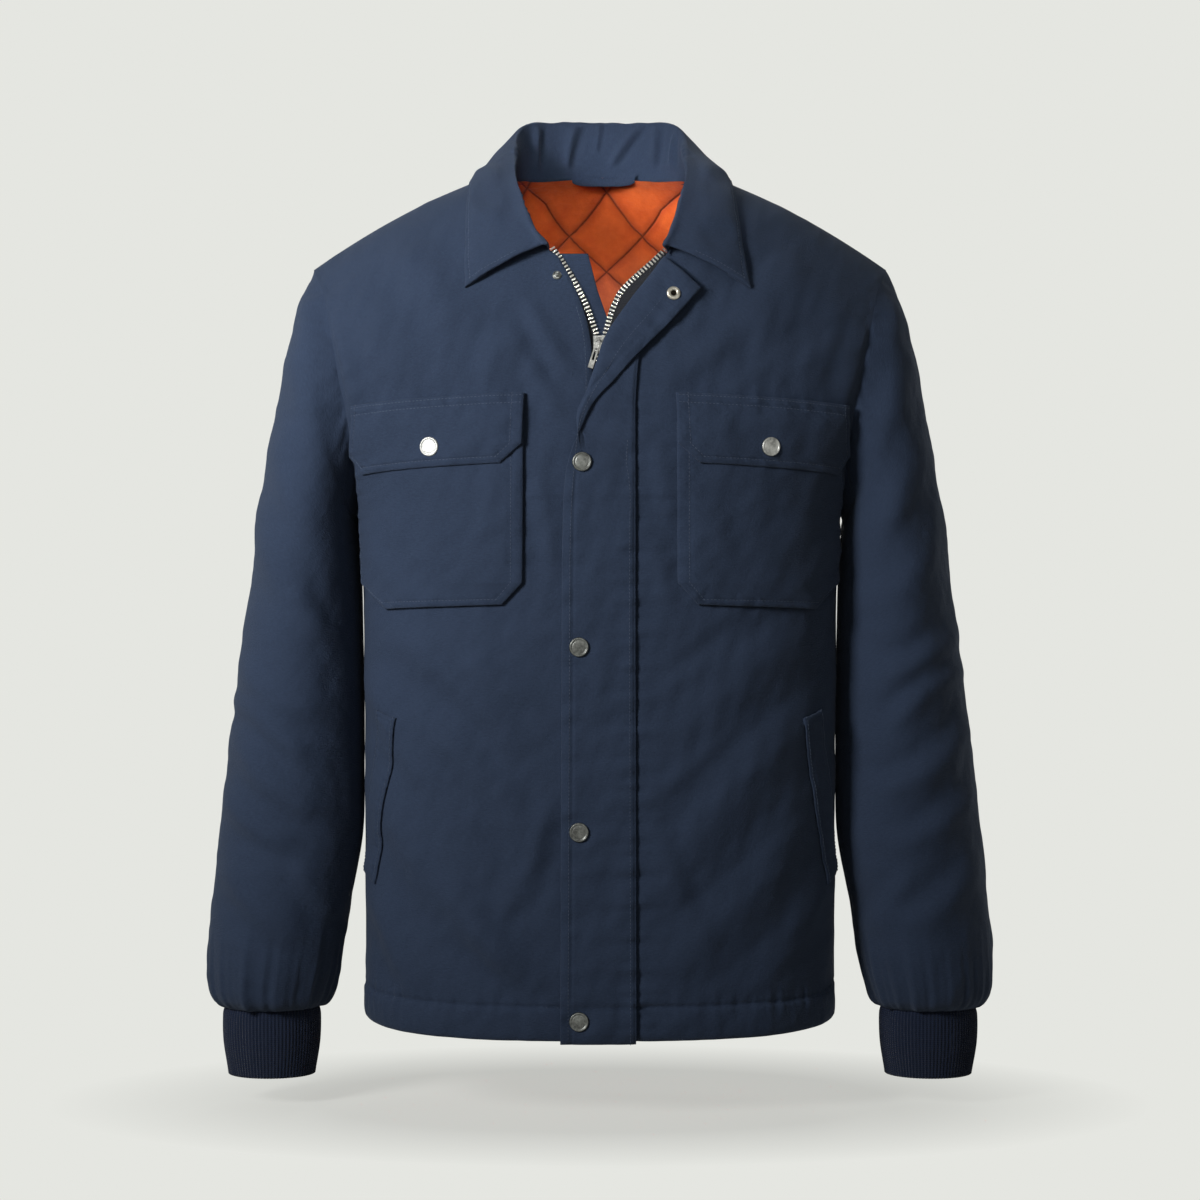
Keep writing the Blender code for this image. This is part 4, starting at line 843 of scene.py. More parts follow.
def make_back(cloth):
    net, normals = back_halves(lambda *half: shell_net(*half, back_relief))
    rows = len(net)
    net, normals = rolled_edges(net, normals, ("first_row",), tuck=HEM_TUCK)
    piece = net_piece("back", net, cloth, "navy_twill", flip=not faces_out(net, normals),
                      joined=(net.shape[1] // 2 - 1, rows_below_neck(1.0) + len(net) - rows))


# ---------------------------------------------------------------- sleeves and cuffs
def sleeve_relief(net, side, around, down):
    """Height of a sleeve's folds, elbow creases and the gathers above its cuff."""
    x, z = net[..., 0], net[..., 2]
    front = steady(-net[..., 1], -0.035, 0.03)
    raised = 1.3 * front * folds(x, z, SLEEVE_FOLDS[side])
    mirrored = [(x0, z0 - 0.03, x1, z1 - 0.02, -bow, width * 1.15, height * 0.8)
                for x0, z0, x1, z1, bow, width, height in SLEEVE_FOLDS[side]]
    raised = raised + (1 - front) * folds(x, z, mirrored)
    round_it = x + net[..., 1]
    raised = raised + 0.0007 * wadding(round_it, z, 70 + side)
    raised = raised + 0.0003 * wadding(round_it, z, 80 + side, 0.022)
    low = steady(z, -0.600, -0.672)
    angle = around * 2 * math.pi
    wave = ripple(angle * 0.05, 0.030, 90 + side)
    pleats = np.clip(wave, -0.6, 1.0) ** 2 * np.sign(wave)
    raised = raised + low * (0.0026 * pleats + 0.0012 * ripple(angle * 0.05, 0.014, 95 + side))
    near_hole = bell(down, 0.7)
    raised = raised + 0.0010 * near_hole * ripple(angle * 0.09, 0.028, 99 + side)
    raised = np.where(z < -0.30, raised * steady(np.abs(x), 0.199, 0.214), raised)
    return raised * steady(down, 0.0, 0.25) * (1 - 0.8 * steady(down, 12.2, 13.0))


def sleeve_net(side, rows=240, columns=160):
    """A sleeve from the armhole to the cuff: its points and outward directions."""
    around = np.arange(columns) / columns
    angle = 2 * math.pi * around
    place = np.abs(np.where(around <= 0.5, 1 - 2 * around, 2 * around - 1))
    hole = flowing(ARMHOLE, place)
    face = np.where(around <= 0.5, -1, 1)
    turn = turn_at(hole[:, 0], hole[:, 1])
    loop = body_point(turn, hole[:, 1], face)
    loop[[0, columns // 2], 1] = 0.0
    rings = [loop]
    for outer_x, outer_z, inner_x, inner_z, depth, centre_y in SLEEVE:
        centre = np.array([(outer_x + inner_x) / 2, centre_y, (outer_z + inner_z) / 2])
        half = np.array([(outer_x - inner_x) / 2, 0, (outer_z - inner_z) / 2])
        deep = np.array([0, -depth, 0])
        rings.append(centre + half * np.cos(angle)[:, None] + deep * np.sin(angle)[:, None])
    rings = np.array(rings)
    steps = spans(rings).mean(axis=1)
    places = running(steps)
    down = np.interp(np.linspace(0, places[-1], rows), places, np.arange(len(rings)))
    net = curve_through(rings, down / (len(rings) - 1))
    net[..., 0] *= side
    normals = net_normals(net, closed=True)
    centre = net.mean(axis=1, keepdims=True)
    normals *= np.sign(np.sum(normals * (net - centre)))
    raised = sleeve_relief(net, side, *np.broadcast_arrays(around[None, :], down[:, None]))
    return net + normals * raised[..., None], normals


def make_sleeve(name, side, cloth):
    net, normals = sleeve_net(side)
    out = float(np.sum(net_normals(net, closed=True) * normals)) > 0
    piece = net_piece(name, net, cloth, "navy_twill", closed=True, flip=not out)


def make_cuff(name, side, knit):
    """A rib-knit tube with its rolled lower edge, and its plain inside."""
    ribs, across, rows = 84, 5, 36
    columns = ribs * across
    angle = 2 * math.pi * np.arange(columns) / columns
    down = np.linspace(0, 1, rows)
    z = np.interp(down, [0, 1], [CUFF[0, 0], CUFF[-1, 0]])
    half = curve_through(CUFF, down)[:, 1:]
    rib = 0.5 + 0.5 * np.cos(angle * ribs)
    wobble = 0.0006 * ripple(angle * 0.04, 0.05, 7 + side)[None, :] * np.sin(down * math.pi)[:, None]
    bulge = 0.0016 * np.sin(np.clip(down, 0, 1) * math.pi)[:, None]
    pinch = -0.0010 * bell(down, 0.06)[:, None]
    grow = 0.0010 * (rib ** 0.7)[None, :] - 0.0010 + wobble + bulge + pinch
    ring = np.stack([np.cos(angle), np.sin(angle)], axis=-1)
    rolls = [(0.0, 0.0)] * rows + CUFF_ROLL
    net = []
    for row, (inward, up) in enumerate(rolls):
        at = min(row, rows - 1)
        relief = grow[at] * (1.0 if row < rows + 2 else 0.2)
        reach = half[at] + inward
        level = z[at] + up
        net.append(np.stack([side * (CUFF_CENTRE[0] + (reach[0] + relief) * ring[:, 0]),
                             CUFF_CENTRE[1] + (reach[1] + relief) * ring[:, 1],
                             np.full(columns, level)], axis=-1))
    net = np.array(net)
    centre = net.mean(axis=1, keepdims=True)
    out = float(np.sum(net_normals(net, closed=True)[:rows] * (net - centre)[:rows])) > 0
    piece = net_piece(name, net, knit, "navy_rib_knit", closed=True, flip=not out)


# ---------------------------------------------------------------- collar
def neck_seam(share, neckline):
    """Point of the neck seam at a share from the centre back to the front end."""
    tip = (NECK_POINT_X, float(shoulder_z(NECK_POINT_X)))
    if share < 0.5:
        x, z = along([*BACK_NECK, tip], share * 2)
        return body_frame(x, z, 1)[0]
    x, z = along([tip, *reversed(neckline)], (share * 2 - 1) * 0.9)
    return body_frame(x, z, -1)[0]


def clear_of_shell(point, away, clearance):
    """The point, moved away in small steps until it lies this far outside the shell."""
    for _ in range(200):
        probe = point - away * clearance
        face = -1 if probe[1] < 0 else 1
        depth = abs(float(body_point(turn_at(probe[0], probe[2]), probe[2], face)[1]))
        if probe[2] >= shoulder_z(probe[0]) or abs(probe[1]) > depth:
            break
        point = point + away * 0.0004
    return point


def collar_line(share, neckline, spread):
    """Middle line of the collar's cloth: up the stand, over the fold and down the fall."""
    rx, ry, rz, ex, ez, face = curve_through(COLLAR, share)
    rx, ex = rx + spread[0] * share ** 4, ex + spread[1] * share ** 4
    fold_line = np.array([rx, ry, rz])
    seam = neck_seam(share, neckline) + np.array([0, 0, 0.0016])
    here, up = body_frame(ex, min(ez, float(shoulder_z(ex)) - 0.0002), 1 if face > 0 else -1)
    edge = here + up * 0.0026
    out = edge - seam
    out = unit(np.array([out[0], out[1], 0.0]))
    lean = unit(fold_line - seam)
    fold = 0.0035
    shoulder = fold_line + out * 2 * fold - lean * fold
    away = unit(up + out)
    middle = (shoulder + edge) / 2 + away * 0.006
    line = [(seam + fold_line) / 2, fold_line - lean * fold * 0.6, fold_line + out * fold * 0.6, shoulder,
            shoulder * 0.4 + middle * 0.6, middle * 0.55 + edge * 0.45, edge]
    return [seam, *[clear_of_shell(point, away, 0.0024) for point in line]]


COLLAR_STITCH = 0.0060      # its seam inside the edge
# folds: along the collar from -1 to 1, down it from 0 at the seam to 1 at the edge
COLLAR_FOLDS = [
    (-0.315, 0.08, -0.215, 0.42, 0.00, 0.020, 0.0036), (0.250, 0.10, 0.185, 0.42, 0.00, 0.020, 0.0032),
    (-0.150, 0.08, -0.075, 0.42, 0.00, 0.018, 0.0034), (0.050, 0.08, 0.125, 0.42, 0.00, 0.018, 0.0032),
    (-0.020, 0.20, 0.000, 0.44, 0.00, 0.014, 0.0016), (-0.55, 0.10, -0.46, 0.42, 0.00, 0.030, 0.0024),
    (0.52, 0.10, 0.45, 0.40, 0.00, 0.030, 0.0022), (0.36, 0.10, 0.30, 0.40, 0.00, 0.018, 0.0028),
    (-0.62, 0.50, -0.50, 0.90, 0.00, 0.045, 0.0018), (0.60, 0.50, 0.52, 0.90, 0.00, 0.045, 0.0018),
    (-0.80, 0.45, -0.74, 0.88, 0.00, 0.040, 0.0016), (0.80, 0.45, 0.76, 0.88, 0.00, 0.040, 0.0014)]


def make_collar(cloth):
    stations, columns, rows = 36, 260, 84
    lines = []
    for station in range(-stations, stations + 1):
        side = -1 if station < 0 else 1
        neckline, spread = (RIGHT_NECK, (0.0, 0.0)) if side < 0 else (LEFT_NECK, LEFT_SPREAD)
        line = np.array(collar_line(abs(station) / stations, neckline, spread))
        lines.append(line * np.array([side, 1, 1]))
    lines = np.array(lines)
    kept = lines.copy()
    for _ in range(8):
        lines[1:-1] = lines[1:-1] * 0.5 + (lines[2:] + lines[:-2]) * 0.25
    lines[:, :3] = lines[:, :3] * 0.3 + kept[:, :3] * 0.7
    lines[:, 0] = kept[:, 0]
    fine = curve_through(lines, np.linspace(0, 1, columns))
    net = np.stack([flowing(row, np.linspace(0, 1, rows)) for row in fine])
    normals = net_normals(net)
    normals *= np.sign(normals[columns // 2, 65, 1])        # out of the fall, at the centre back
    along_it = np.linspace(-1, 1, columns)[:, None]
    down_it = np.linspace(0, 1, rows)[None, :]
    raised = folds(along_it, down_it, COLLAR_FOLDS)
    raised = raised + 0.0005 * wadding(along_it * 0.3, down_it * 0.11, 17, 0.05)
    near = np.minimum((1 - down_it) * 0.105, (1 - np.abs(along_it)) * 0.30)
    raised = raised * steady(down_it, 0.02, 0.12) + 0.0011 * rounded(near, 0.0055) \
        - 0.0007 * bell(near - COLLAR_STITCH, 0.0012)
    puckers = ripple(along_it * 0.3 + down_it * 0.1, 0.012, 23)
    raised = raised + 0.0004 * bell(near - COLLAR_STITCH, 0.005) * puckers
    face_net = net + normals * (raised + 0.0004)[..., None]
    length = float(spans(face_net, 1).sum(axis=1).mean())
    reach = float(spans(face_net[:, -1]).sum())
    inset, end = 1 - COLLAR_STITCH / length, COLLAR_STITCH / reach
    sew_on(face_net, normals, np.linspace(end, 1 - end, 600), inset)
    for station in (end, 1 - end):
        sew_on(face_net, normals, station, np.linspace(0.45, inset, 60))
    net, normals = rolled_edges(face_net, normals, ("last_column",), tuck=0.020)
    net = np.concatenate([net[:, :1] + np.sign(net[:, :1]) * np.array([0.0, 0.0030, 0.0])
                          - np.array([0.0, 0.0, 0.003]), net], axis=1)
    normals = np.concatenate([normals[:, :1], normals], axis=1)
    net, normals = rolled_edges(net, normals, ("first_row", "last_row"), tuck=0.006)
    piece = net_piece("collar", net, cloth, "navy_twill", flip=not faces_out(net, normals))


# ---------------------------------------------------------------- pieces laid on the fronts
def laid_points(table, rows, columns):
    """x and height of each point of a piece laid on the front, from rows of left x, z, right x, z."""
    line = along(np.array(table), np.linspace(0, 1, rows))
    share = np.linspace(0, 1, columns)[None, :]
    left_x, left_z, right_x, right_z = line.T[..., None]
    turn = turn_at(left_x, left_z) * (1 - share) + turn_at(right_x, right_z) * share
    z = left_z * (1 - share) + right_z * share
    width = section(z)[0]
    return np.sign(turn) * width * np.sin(np.abs(turn)) ** (2 / ROUND), z


def from_border(net):
    """Distance of each point of a net from its border, over the cloth."""
    rows, columns = net.shape[:2]
    across = spans(net, 1).mean(axis=1)[:, None] * (columns - 1)
    down = spans(net).mean() * (rows - 1)
    u, v = np.linspace(0, 1, columns)[None, :], np.linspace(0, 1, rows)[:, None]
    return np.minimum(np.minimum(u, 1 - u) * across, v * down), (1 - v) * down + 0 * u


def laid_piece(name, table, lifts, side, cloth, seed, sewn, puff, rows=110, columns=100,
               stitch=POCKET_STITCH, own_folds=(), thickness=0.0014):
    """A piece laid on a front, with a seam along the named sides at each inset."""
    x, z = laid_points(table, rows, columns)
    steps = np.linspace(0, 1, len(lifts))
    lift = np.interp(np.linspace(0, 1, rows), steps, lifts)[:, None] + 0 * x
    x = x * -side
    plain, _ = over_front(x, z, lift)
    edge, below = from_border(plain)
    edge = np.minimum(edge, below)
    raised = lift + thickness + puff * rounded(edge, 0.006)
    raised = raised - 0.0006 * bell(edge - stitch, 0.0013) + folds(x * -side, z, own_folds)
    raised = raised + 0.0004 * bell(edge - stitch, 0.006) * ripple(x + z, 0.011, seed)
    raised = raised + 0.0003 * steady(edge, 0, 0.01) * wadding(x, z, seed + 1, 0.03)
    spots = [(-side * POCKET_SNAP[0], POCKET_SNAP[1], FLAP_SNAP_LIFT)] if "flap" in name else []
    net, normals = over_front(x, z, settled(x, z, raised + front_relief(x, z), spots), 0.0)
    for kind, inset in sewn:
        if kind == "top":
            sew_on(net, normals, inset / float(below[0].mean()), np.linspace(0.012, 0.988, 160))
        else:
            sew_round(net, normals, inset, kind)
    net, normals = rolled_edges(net, normals, ("first_column", "last_column"), thickness, 0.004)
    net, normals = rolled_edges(net, normals, ("last_row", "first_row"), thickness, 0.004)
    piece = net_piece(name, net, cloth, "navy_twill", flip=not faces_out(net, normals))


POCKET_FOLDS = [
    (-0.172, -0.260, -0.120, -0.330, 0.006, 0.012, 0.0012),
    (-0.080, -0.260, -0.110, -0.335, -0.006, 0.012, 0.0012),
    (-0.185, -0.300, -0.150, -0.345, 0.0, 0.009, 0.0010),
    (-0.075, -0.300, -0.095, -0.343, 0.0, 0.008, 0.0009)]
FLAP_FOLDS = [
    (-0.150, -0.192, -0.140, -0.225, 0.0, 0.010, 0.0008),
    (-0.095, -0.190, -0.105, -0.232, 0.0, 0.009, 0.0007),
    (-0.190, -0.195, -0.180, -0.230, 0.0, 0.008, 0.0008)]


def make_pockets(cloth):
    round_sides = (("left", "right", "bottom"), POCKET_STITCH)
    for side, name in SIDE_NAMES.items():
        laid_piece(f"pocket_{name}", POCKET, [POCKET_LIFT] * 5, side, cloth, own_folds=POCKET_FOLDS,
                   puff=0.0009, seed=101 + side, sewn=(round_sides,))
        laid_piece(f"pocket_flap_{name}", FLAP, FLAP_LIFTS, side, cloth, rows=70, own_folds=FLAP_FOLDS,
                   puff=0.0008, thickness=0.0020, seed=111 + side,
                   sewn=(round_sides, ("top", 0.0016), ("top", 0.0074)))
        laid_piece(f"welt_{name}", WELT, [WELT_LIFT] * 4, side, cloth, columns=20, puff=0.0012,
                   stitch=0.0040, seed=121 + side, sewn=((("left", "right"), 0.0020),))


def make_fly_flap(cloth):
    rows = []
    for sx, sz, rx, rz, fx, fz in FLY_FOLDED:
        out = unit(np.array([rx - sx, rz - sz])) * 0.0014
        row = [(sx + (rx - sx) * s, sz + (rz - sz) * s, FLY_LIFT) for s in (0.0, 0.33, 0.66, 0.93)]
        row.append((rx + out[0], rz + out[1], FLY_LIFT + FLY_RISE / 2))
        row += [(rx + (fx - rx) * s, rz + (fz - rz) * s, FLY_LIFT + FLY_RISE) for s in (0.12, 0.5, 1.0)]
        rows.append(row)
    for index, (sx, sz, fx, fz) in enumerate(FLY_FLAT):
        lift = FLY_HEM_LIFT if index >= len(FLY_FLAT) - 2 else FLY_LIFT
        rows.append([(sx + (fx - sx) * s, sz + (fz - sz) * s, lift)
                     for s in (0.0, 0.16, 0.33, 0.5, 0.65, 0.78, 0.9, 1.0)])
    rows = np.array(rows)
    gone = running(spans(rows[:, 3:5, :2].mean(axis=1)))       # down the middle of the flap
    count, columns = 310, 70
    place = np.interp(np.linspace(0, gone[-1], count), gone, np.arange(len(rows))) / (len(rows) - 1)
    fine = curve_through(rows, place)
    fine = np.stack([curve_through(row, np.linspace(0, 1, columns)) for row in fine])
    x, z, lift = fine[..., 0], fine[..., 1], fine[..., 2]
    plain = np.stack([x, lift, z], axis=-1)
    width = spans(plain, 1)
    from_seam = np.concatenate([np.zeros((count, 1)), np.cumsum(width, axis=1)], axis=1)
    edge = from_seam[:, -1:] - from_seam
    level = np.linspace(0, gone[-1], count)[:, None]
    bottom = (gone[-1] - level) + 0 * x
    near = np.minimum(np.minimum(edge, bottom), level + 0 * x)
    raised = lift + 0.0010 + 0.0008 * rounded(near, 0.006)
    raised = raised - 0.0005 * bell(edge - FLY_STITCH, 0.0013)
    raised = raised - 0.0005 * bell(bottom - FLY_HEM_STITCH, 0.0013)
    raised = raised + 0.0008 * bell(edge - 0.006, 0.010) * ripple(level, 0.026, 131)
    raised = raised + 0.0005 * bell(from_seam - 0.004, 0.007) * ripple(level, 0.016, 133)
    raised = raised + 0.0005 * wadding(x, z, 135, 0.04)
    raised = raised - 0.0008 * bell(from_seam - 0.0005, 0.0015)
    raised = settled(x, z, raised + 0.85 * front_relief(x, z), FLY_SPOTS)
    net, normals = over_front(x, z, raised, 0.0)
    from_top = np.linspace(0.0, 1.0, 700)
    widths = np.interp(from_top, np.linspace(0, 1, count), from_seam[:, -1])
    flat_part, seamed = from_top > 0.22, from_top > 0.05
    sew_on(net, normals, from_top[flat_part], FLY_SEAM_STITCH / widths[flat_part])
    sew_on(net, normals, np.minimum(from_top, 0.988)[seamed], (1 - FLY_STITCH / widths)[seamed])
    net, normals = rolled_edges(net, normals, ("last_column",), 0.0020, 0.004)
    net, normals = rolled_edges(net, normals, ("first_row", "last_row"), 0.0020, 0.004)
    piece = net_piece("fly_flap", net, cloth, "navy_twill", flip=not faces_out(net[150:], normals[150:]))


def make_tapes(tape, cloth):
    for teeth, edge, side in ((RIGHT_TEETH, RIGHT_TEETH, -1), (LEFT_TEETH, LEFT_TAPE, 1)):
        table = [(tooth_x - side * TAPE_EDGE * min(1.0, abs(tooth_x) / 0.012), tooth_z,
                  x + side * TAPE_WIDTH, z - 0.6 * TAPE_WIDTH * min(1.0, abs(x) / 0.02))
                 for (tooth_x, tooth_z), (x, z) in zip(teeth, edge)]
        strip(f"zip_tape_{SIDE_NAMES[side]}", table, TAPE_LIFT + 0.0009, 14, tape, "navy_tape")
    strip("zip_guard", GUARD, -0.0044, 30, cloth, "navy_twill", puff=0.0006)


def strip(name, table, lift, columns, finish, slot, rows=260, puff=0.0):
    """A narrow strip under the fronts, such as a zip tape."""
    x, z = laid_points(table, rows, columns)
    raised = lift + puff * np.sin(np.linspace(0, math.pi, columns))[None, :] + 0 * x
    net, normals = over_front(x, z, raised, 0.6)
    net, normals = rolled_edges(net, normals, ("first_column", "last_column"), 0.0009, 0.001)
    piece = net_piece(name, net, finish, slot, flip=not faces_out(net, normals))


# ---------------------------------------------------------------- quilted lining
LINING_FINENESS = 0.7           # its rows of points, as a share of the shell's
LINING_DEPTH, LINING_NECK_DEPTH = 0.0066, 0.0024        # how far inside the shell, and at the neck
QUILT = (0.0700, 0.0620)        # width and height of a quilted diamond
QUILT_CENTRE = (0.0060, 0.0070)


def quilting(u, v):
    """Height of the quilting: puffed diamonds between crossing stitch lines."""
    a = (u - QUILT_CENTRE[0]) / QUILT[0] + (v - QUILT_CENTRE[1]) / QUILT[1]
    b = (u - QUILT_CENTRE[0]) / QUILT[0] - (v - QUILT_CENTRE[1]) / QUILT[1]
    first, second = np.abs(np.sin(math.pi * a)), np.abs(np.sin(math.pi * b))
    puckers = bell(first, 0.35) * ripple(b * 0.047, 0.010, 213) \
        + bell(second, 0.35) * ripple(a * 0.047, 0.011, 217)
    near = np.minimum(first, second)
    return 0.0042 * near ** 0.6 + 0.0005 * near * wadding(u, v, 211, 0.018) + 0.0006 * puckers


def lining_net(edge, neckline, side, face, columns=98):
    turn, z = panel_turns(edge, neckline, LINING_FINENESS, columns)
    rows = len(turn)
    z = z + 0.012 * steady(z, hem_z(turn) + 0.060, hem_z(turn))
    net = body_point(turn * side, z, face)
    normals = outward_normals(net, turn)
    u = np.concatenate([np.zeros((rows, 1)), np.cumsum(spans(net, 1), axis=1)], axis=1)
    u = side * (u + np.abs(net[:, :1, 0]))
    share, high = np.linspace(0, 1, columns)[None, :], np.linspace(0, 1, rows)[:, None]
    gone, _ = from_line(np.abs(net[..., 0]), z, [*neckline, (NECK_POINT_X, float(shoulder_z(NECK_POINT_X)))])
    near_neck = steady(gone, 0.030, 0.004)
    base = LINING_DEPTH + (LINING_NECK_DEPTH - LINING_DEPTH) * near_neck
    edges = steady(1 - high, 0.0, 0.02) * (steady(share, 0.0, 0.05) if face < 0 else 1.0)
    deep = base + 0.0006 + quilting(u, z) * edges
    if face > 0:        # at the back neck the lining comes up to the seam, in front of the shell
        lean = near_neck[..., None]
        normals = unit(normals * (1 - lean) + np.array([0.0, 1.0, 0.0]) * lean)
    moved = net - normals * deep[..., None]
    moved[..., 1] = face * np.maximum(face * moved[..., 1], GAP)
    return moved, normals, u, z


def make_linings(satin):
    for name, edge, neckline, side in (("lining_right", RIGHT_EDGE, RIGHT_NECK, -1),
                                       ("lining_left", LEFT_EDGE, LEFT_NECK, 1)):
        inset = [(x + 0.0145, z) for x, z in edge]
        inset_neck = [inset[-1], *[(x + 0.004, z - 0.002) for x, z in neckline[1:]]]
        net, normals, *weave = lining_net(inset, inset_neck, side, -1)
        piece = net_piece(name, net, satin, "orange_lining", flip=faces_out(net, normals), weave=weave)
    net, normals, *weave = back_halves(lining_net)
    piece = net_piece("lining_back", net, satin, "orange_lining", flip=faces_out(net, normals), weave=weave,
                      joined=(net.shape[1] // 2 - 1, rows_below_neck(LINING_FINENESS)))


LOOP_X, LOOP_HALF, LOOP_TOP_Z, LOOP_DROP, LOOP_Y, LOOP_BOW = 0.003, 0.027, 0.0205, 0.0040, 0.0542, 0.0029
LOOP_PROFILE = [      # forward and up from its middle line
    (-0.0004, 0.0000), (-0.0009, -0.0006), (-0.0010, -0.0037), (-0.0009, -0.0069), (-0.0004, -0.0075),
    (0.0004, -0.0075), (0.0008, -0.0060), (0.0008, -0.0015), (0.0004, 0.0000)]


def make_hanger_loop(cloth):
    """A narrow folded strip sewn in at the back neck, bowed down in front of the lining."""
    share = np.linspace(-1, 1, 90)
    drop = LOOP_DROP * np.sqrt(np.maximum(0.0, 1 - share ** 4))
    front = LOOP_Y - LOOP_BOW * share ** 2
    net = np.array([[(LOOP_X + LOOP_HALF * s, y + forward + 0.0006, LOOP_TOP_Z - d + level)
                     for forward, level in LOOP_PROFILE] for s, d, y in zip(share, drop, front)])
    normals = np.zeros_like(net)
    normals[..., 1] = -1
    piece = net_piece("hanger_loop", net, cloth, "navy_twill", flip=not faces_out(net[:, :5], normals[:, :5]))


# ================================================================ materials
def twill_finish():
    """Navy cotton twill: fine diagonal wales, uneven dye, soft nap and paler wear on the crests."""
    cloth = Finish("navy_twill", Roughness=0.9)
    cloth.shader.inputs["Specular IOR Level"].default_value = 0.28
    cloth.shader.inputs["Sheen Weight"].default_value = 0.06
    cloth.shader.inputs["Sheen Roughness"].default_value = 0.45
    cloth.shader.inputs["Sheen Tint"].default_value = (0.55, 0.66, 0.85, 1.0)
    u, v = cloth.weave()
    place = cloth.place()
    wobble = cloth.noise(place, 60.0, 2.0) * 0.0006
    wales = cloth.wave(u + v + wobble, 1350.0)
    drawn = cloth.node("ShaderNodeCombineXYZ", {}, {0: u * 0.22, 1: v})[0]
    threads = cloth.noise(drawn, 1100.0, 2.0, 0.6)
    slub = cloth.noise(place, 700.0, 2.0, 0.6)
    patches = cloth.noise(place, 9.0, 3.0, 0.55)
    grain = cloth.noise(place, 260.0, 3.0, 0.65)
    dye = cloth.range(patches + grain * 0.5, 0.45, 1.05)
    colour = cloth.mixed(dye, (0.0140, 0.0245, 0.0510), (0.0200, 0.0335, 0.0675))
    worn = cloth.range(wales * 0.08 + slub * 0.5 + threads * 0.5, 0.36, 0.70)
    colour = cloth.mixed(worn * 0.70, colour, (0.0330, 0.0530, 0.0960))
    height = wales * 0.15 + threads * 1.2 + slub * 0.9 + grain * 1.2
    return cloth.feed(Base_Color=colour, Roughness=cloth.range(slub, 0.2, 0.8, 0.82, 0.97),
                      Normal=cloth.bumped(height, 0.00040, 0.8))


def knit_finish():
    """Dark rib knit: small stitches along each rib."""
    knit = Finish("navy_rib_knit", Roughness=0.95)
    knit.shader.inputs["Specular IOR Level"].default_value = 0.2
    knit.shader.inputs["Sheen Weight"].default_value = 0.15
    u, v = knit.weave()
    place = knit.place()
    stitches = knit.wave(v + abs(knit.wave(u, 180.0)) * 0.0006, 620.0)
    fuzz = knit.noise(place, 700.0, 3.0, 0.7)
    worn = knit.range(stitches * 0.3 + fuzz, 0.2, 0.9)
    colour = knit.mixed(worn, (0.0066, 0.0117, 0.0290), (0.0154, 0.0270, 0.0640))
    return knit.feed(Base_Color=colour, Normal=knit.bumped(stitches * 0.6 + fuzz * 1.6, 0.0004, 0.8))


def satin_finish():
    """Orange quilting satin, thin and creased, with a fine weave. Its colour holds painted shade: darker in
    the troughs of the creases, darker around the quilted seams and near black along the seam lines.
    """
    satin = Finish("orange_lining", Roughness=0.42)
    satin.shader.inputs["Sheen Weight"].default_value = 0.10
    satin.shader.inputs["Specular IOR Level"].default_value = 0.45
    place = satin.place()
    u, v = satin.weave()
    creases = satin.noise(place, 75.0, 4.0, 0.6)
    fine = satin.noise(place, 420.0, 2.0, 0.5)
    weave = satin.wave(v, 1100.0) * 0.5 + satin.wave(u, 1100.0) * 0.3
    # painted shade: the colour follows the creases' bump, lighter where it rises and darker in its troughs
    colour = satin.mixed(satin.range(creases, 0.3, 0.7), (0.780, 0.120, 0.022), (0.920, 0.185, 0.036))
    across, up = (u - QUILT_CENTRE[0]) * (1 / QUILT[0]), (v - QUILT_CENTRE[1]) * (1 / QUILT[1])
    first, second = (abs(satin.wave(line, 0.5)) for line in (across + up, across - up))
    near = satin.node("ShaderNodeMath", {"operation": "MINIMUM"}, {0: first, 1: second})[0]
    # seam marks the quilted seam lines: a groove in the bump below, and near-black painted shade in the
    # colour
    seam = satin.range(near, 0.0, 0.11, 1.0, 0.0)
    shade = satin.range(near, 0.0, 0.45, 0.55, 0.0)
    # painted shade: darker around the seams, fading out over the puffs, and near black on the seam lines
    # themselves
    colour = satin.mixed(shade, colour, (0.420, 0.035, 0.006))
    colour = satin.mixed(seam * seam, colour, (0.120, 0.009, 0.002))
    height = creases * 4.0 + fine * 0.6 + weave * 0.15 - seam * 2.0
    return satin.feed(Base_Color=colour, Roughness=satin.range(fine, 0.3, 0.7, 0.36, 0.52),
                      Normal=satin.bumped(height, 0.0006, 0.8))


def tape_finish():
    """Woven zip tape: lengthwise herringbone."""
    tape = Finish("navy_tape", Roughness=0.88)
    tape.shader.inputs["Sheen Weight"].default_value = 0.08
    u, v = tape.weave()
    fold = tape.node("ShaderNodeMath", {"operation": "PINGPONG"}, {0: u, 1: 0.0016})[0]
    ribs = tape.wave(v + fold, 650.0)
    speck = tape.noise(tape.place(), 800.0, 2.0)
    worn = tape.range(ribs * 0.3 + speck, 0.2, 0.8)
    colour = tape.mixed(worn, (0.0038, 0.0050, 0.0088), (0.0076, 0.0104, 0.0176))
    return tape.feed(Base_Color=colour, Normal=tape.bumped(ribs + speck, 0.0003, 0.8))


def thread_finish():
    thread = Finish("navy_thread", Roughness=0.7)
    thread.shader.inputs["Sheen Weight"].default_value = 0.1
    twist = thread.noise(thread.place(), 1500.0, 2.0)
    colour = thread.mixed(twist, (0.0330, 0.0500, 0.0880), (0.0600, 0.0850, 0.1350))
    return thread.feed(Base_Color=colour, Normal=thread.bumped(twist, 0.0002, 0.6))


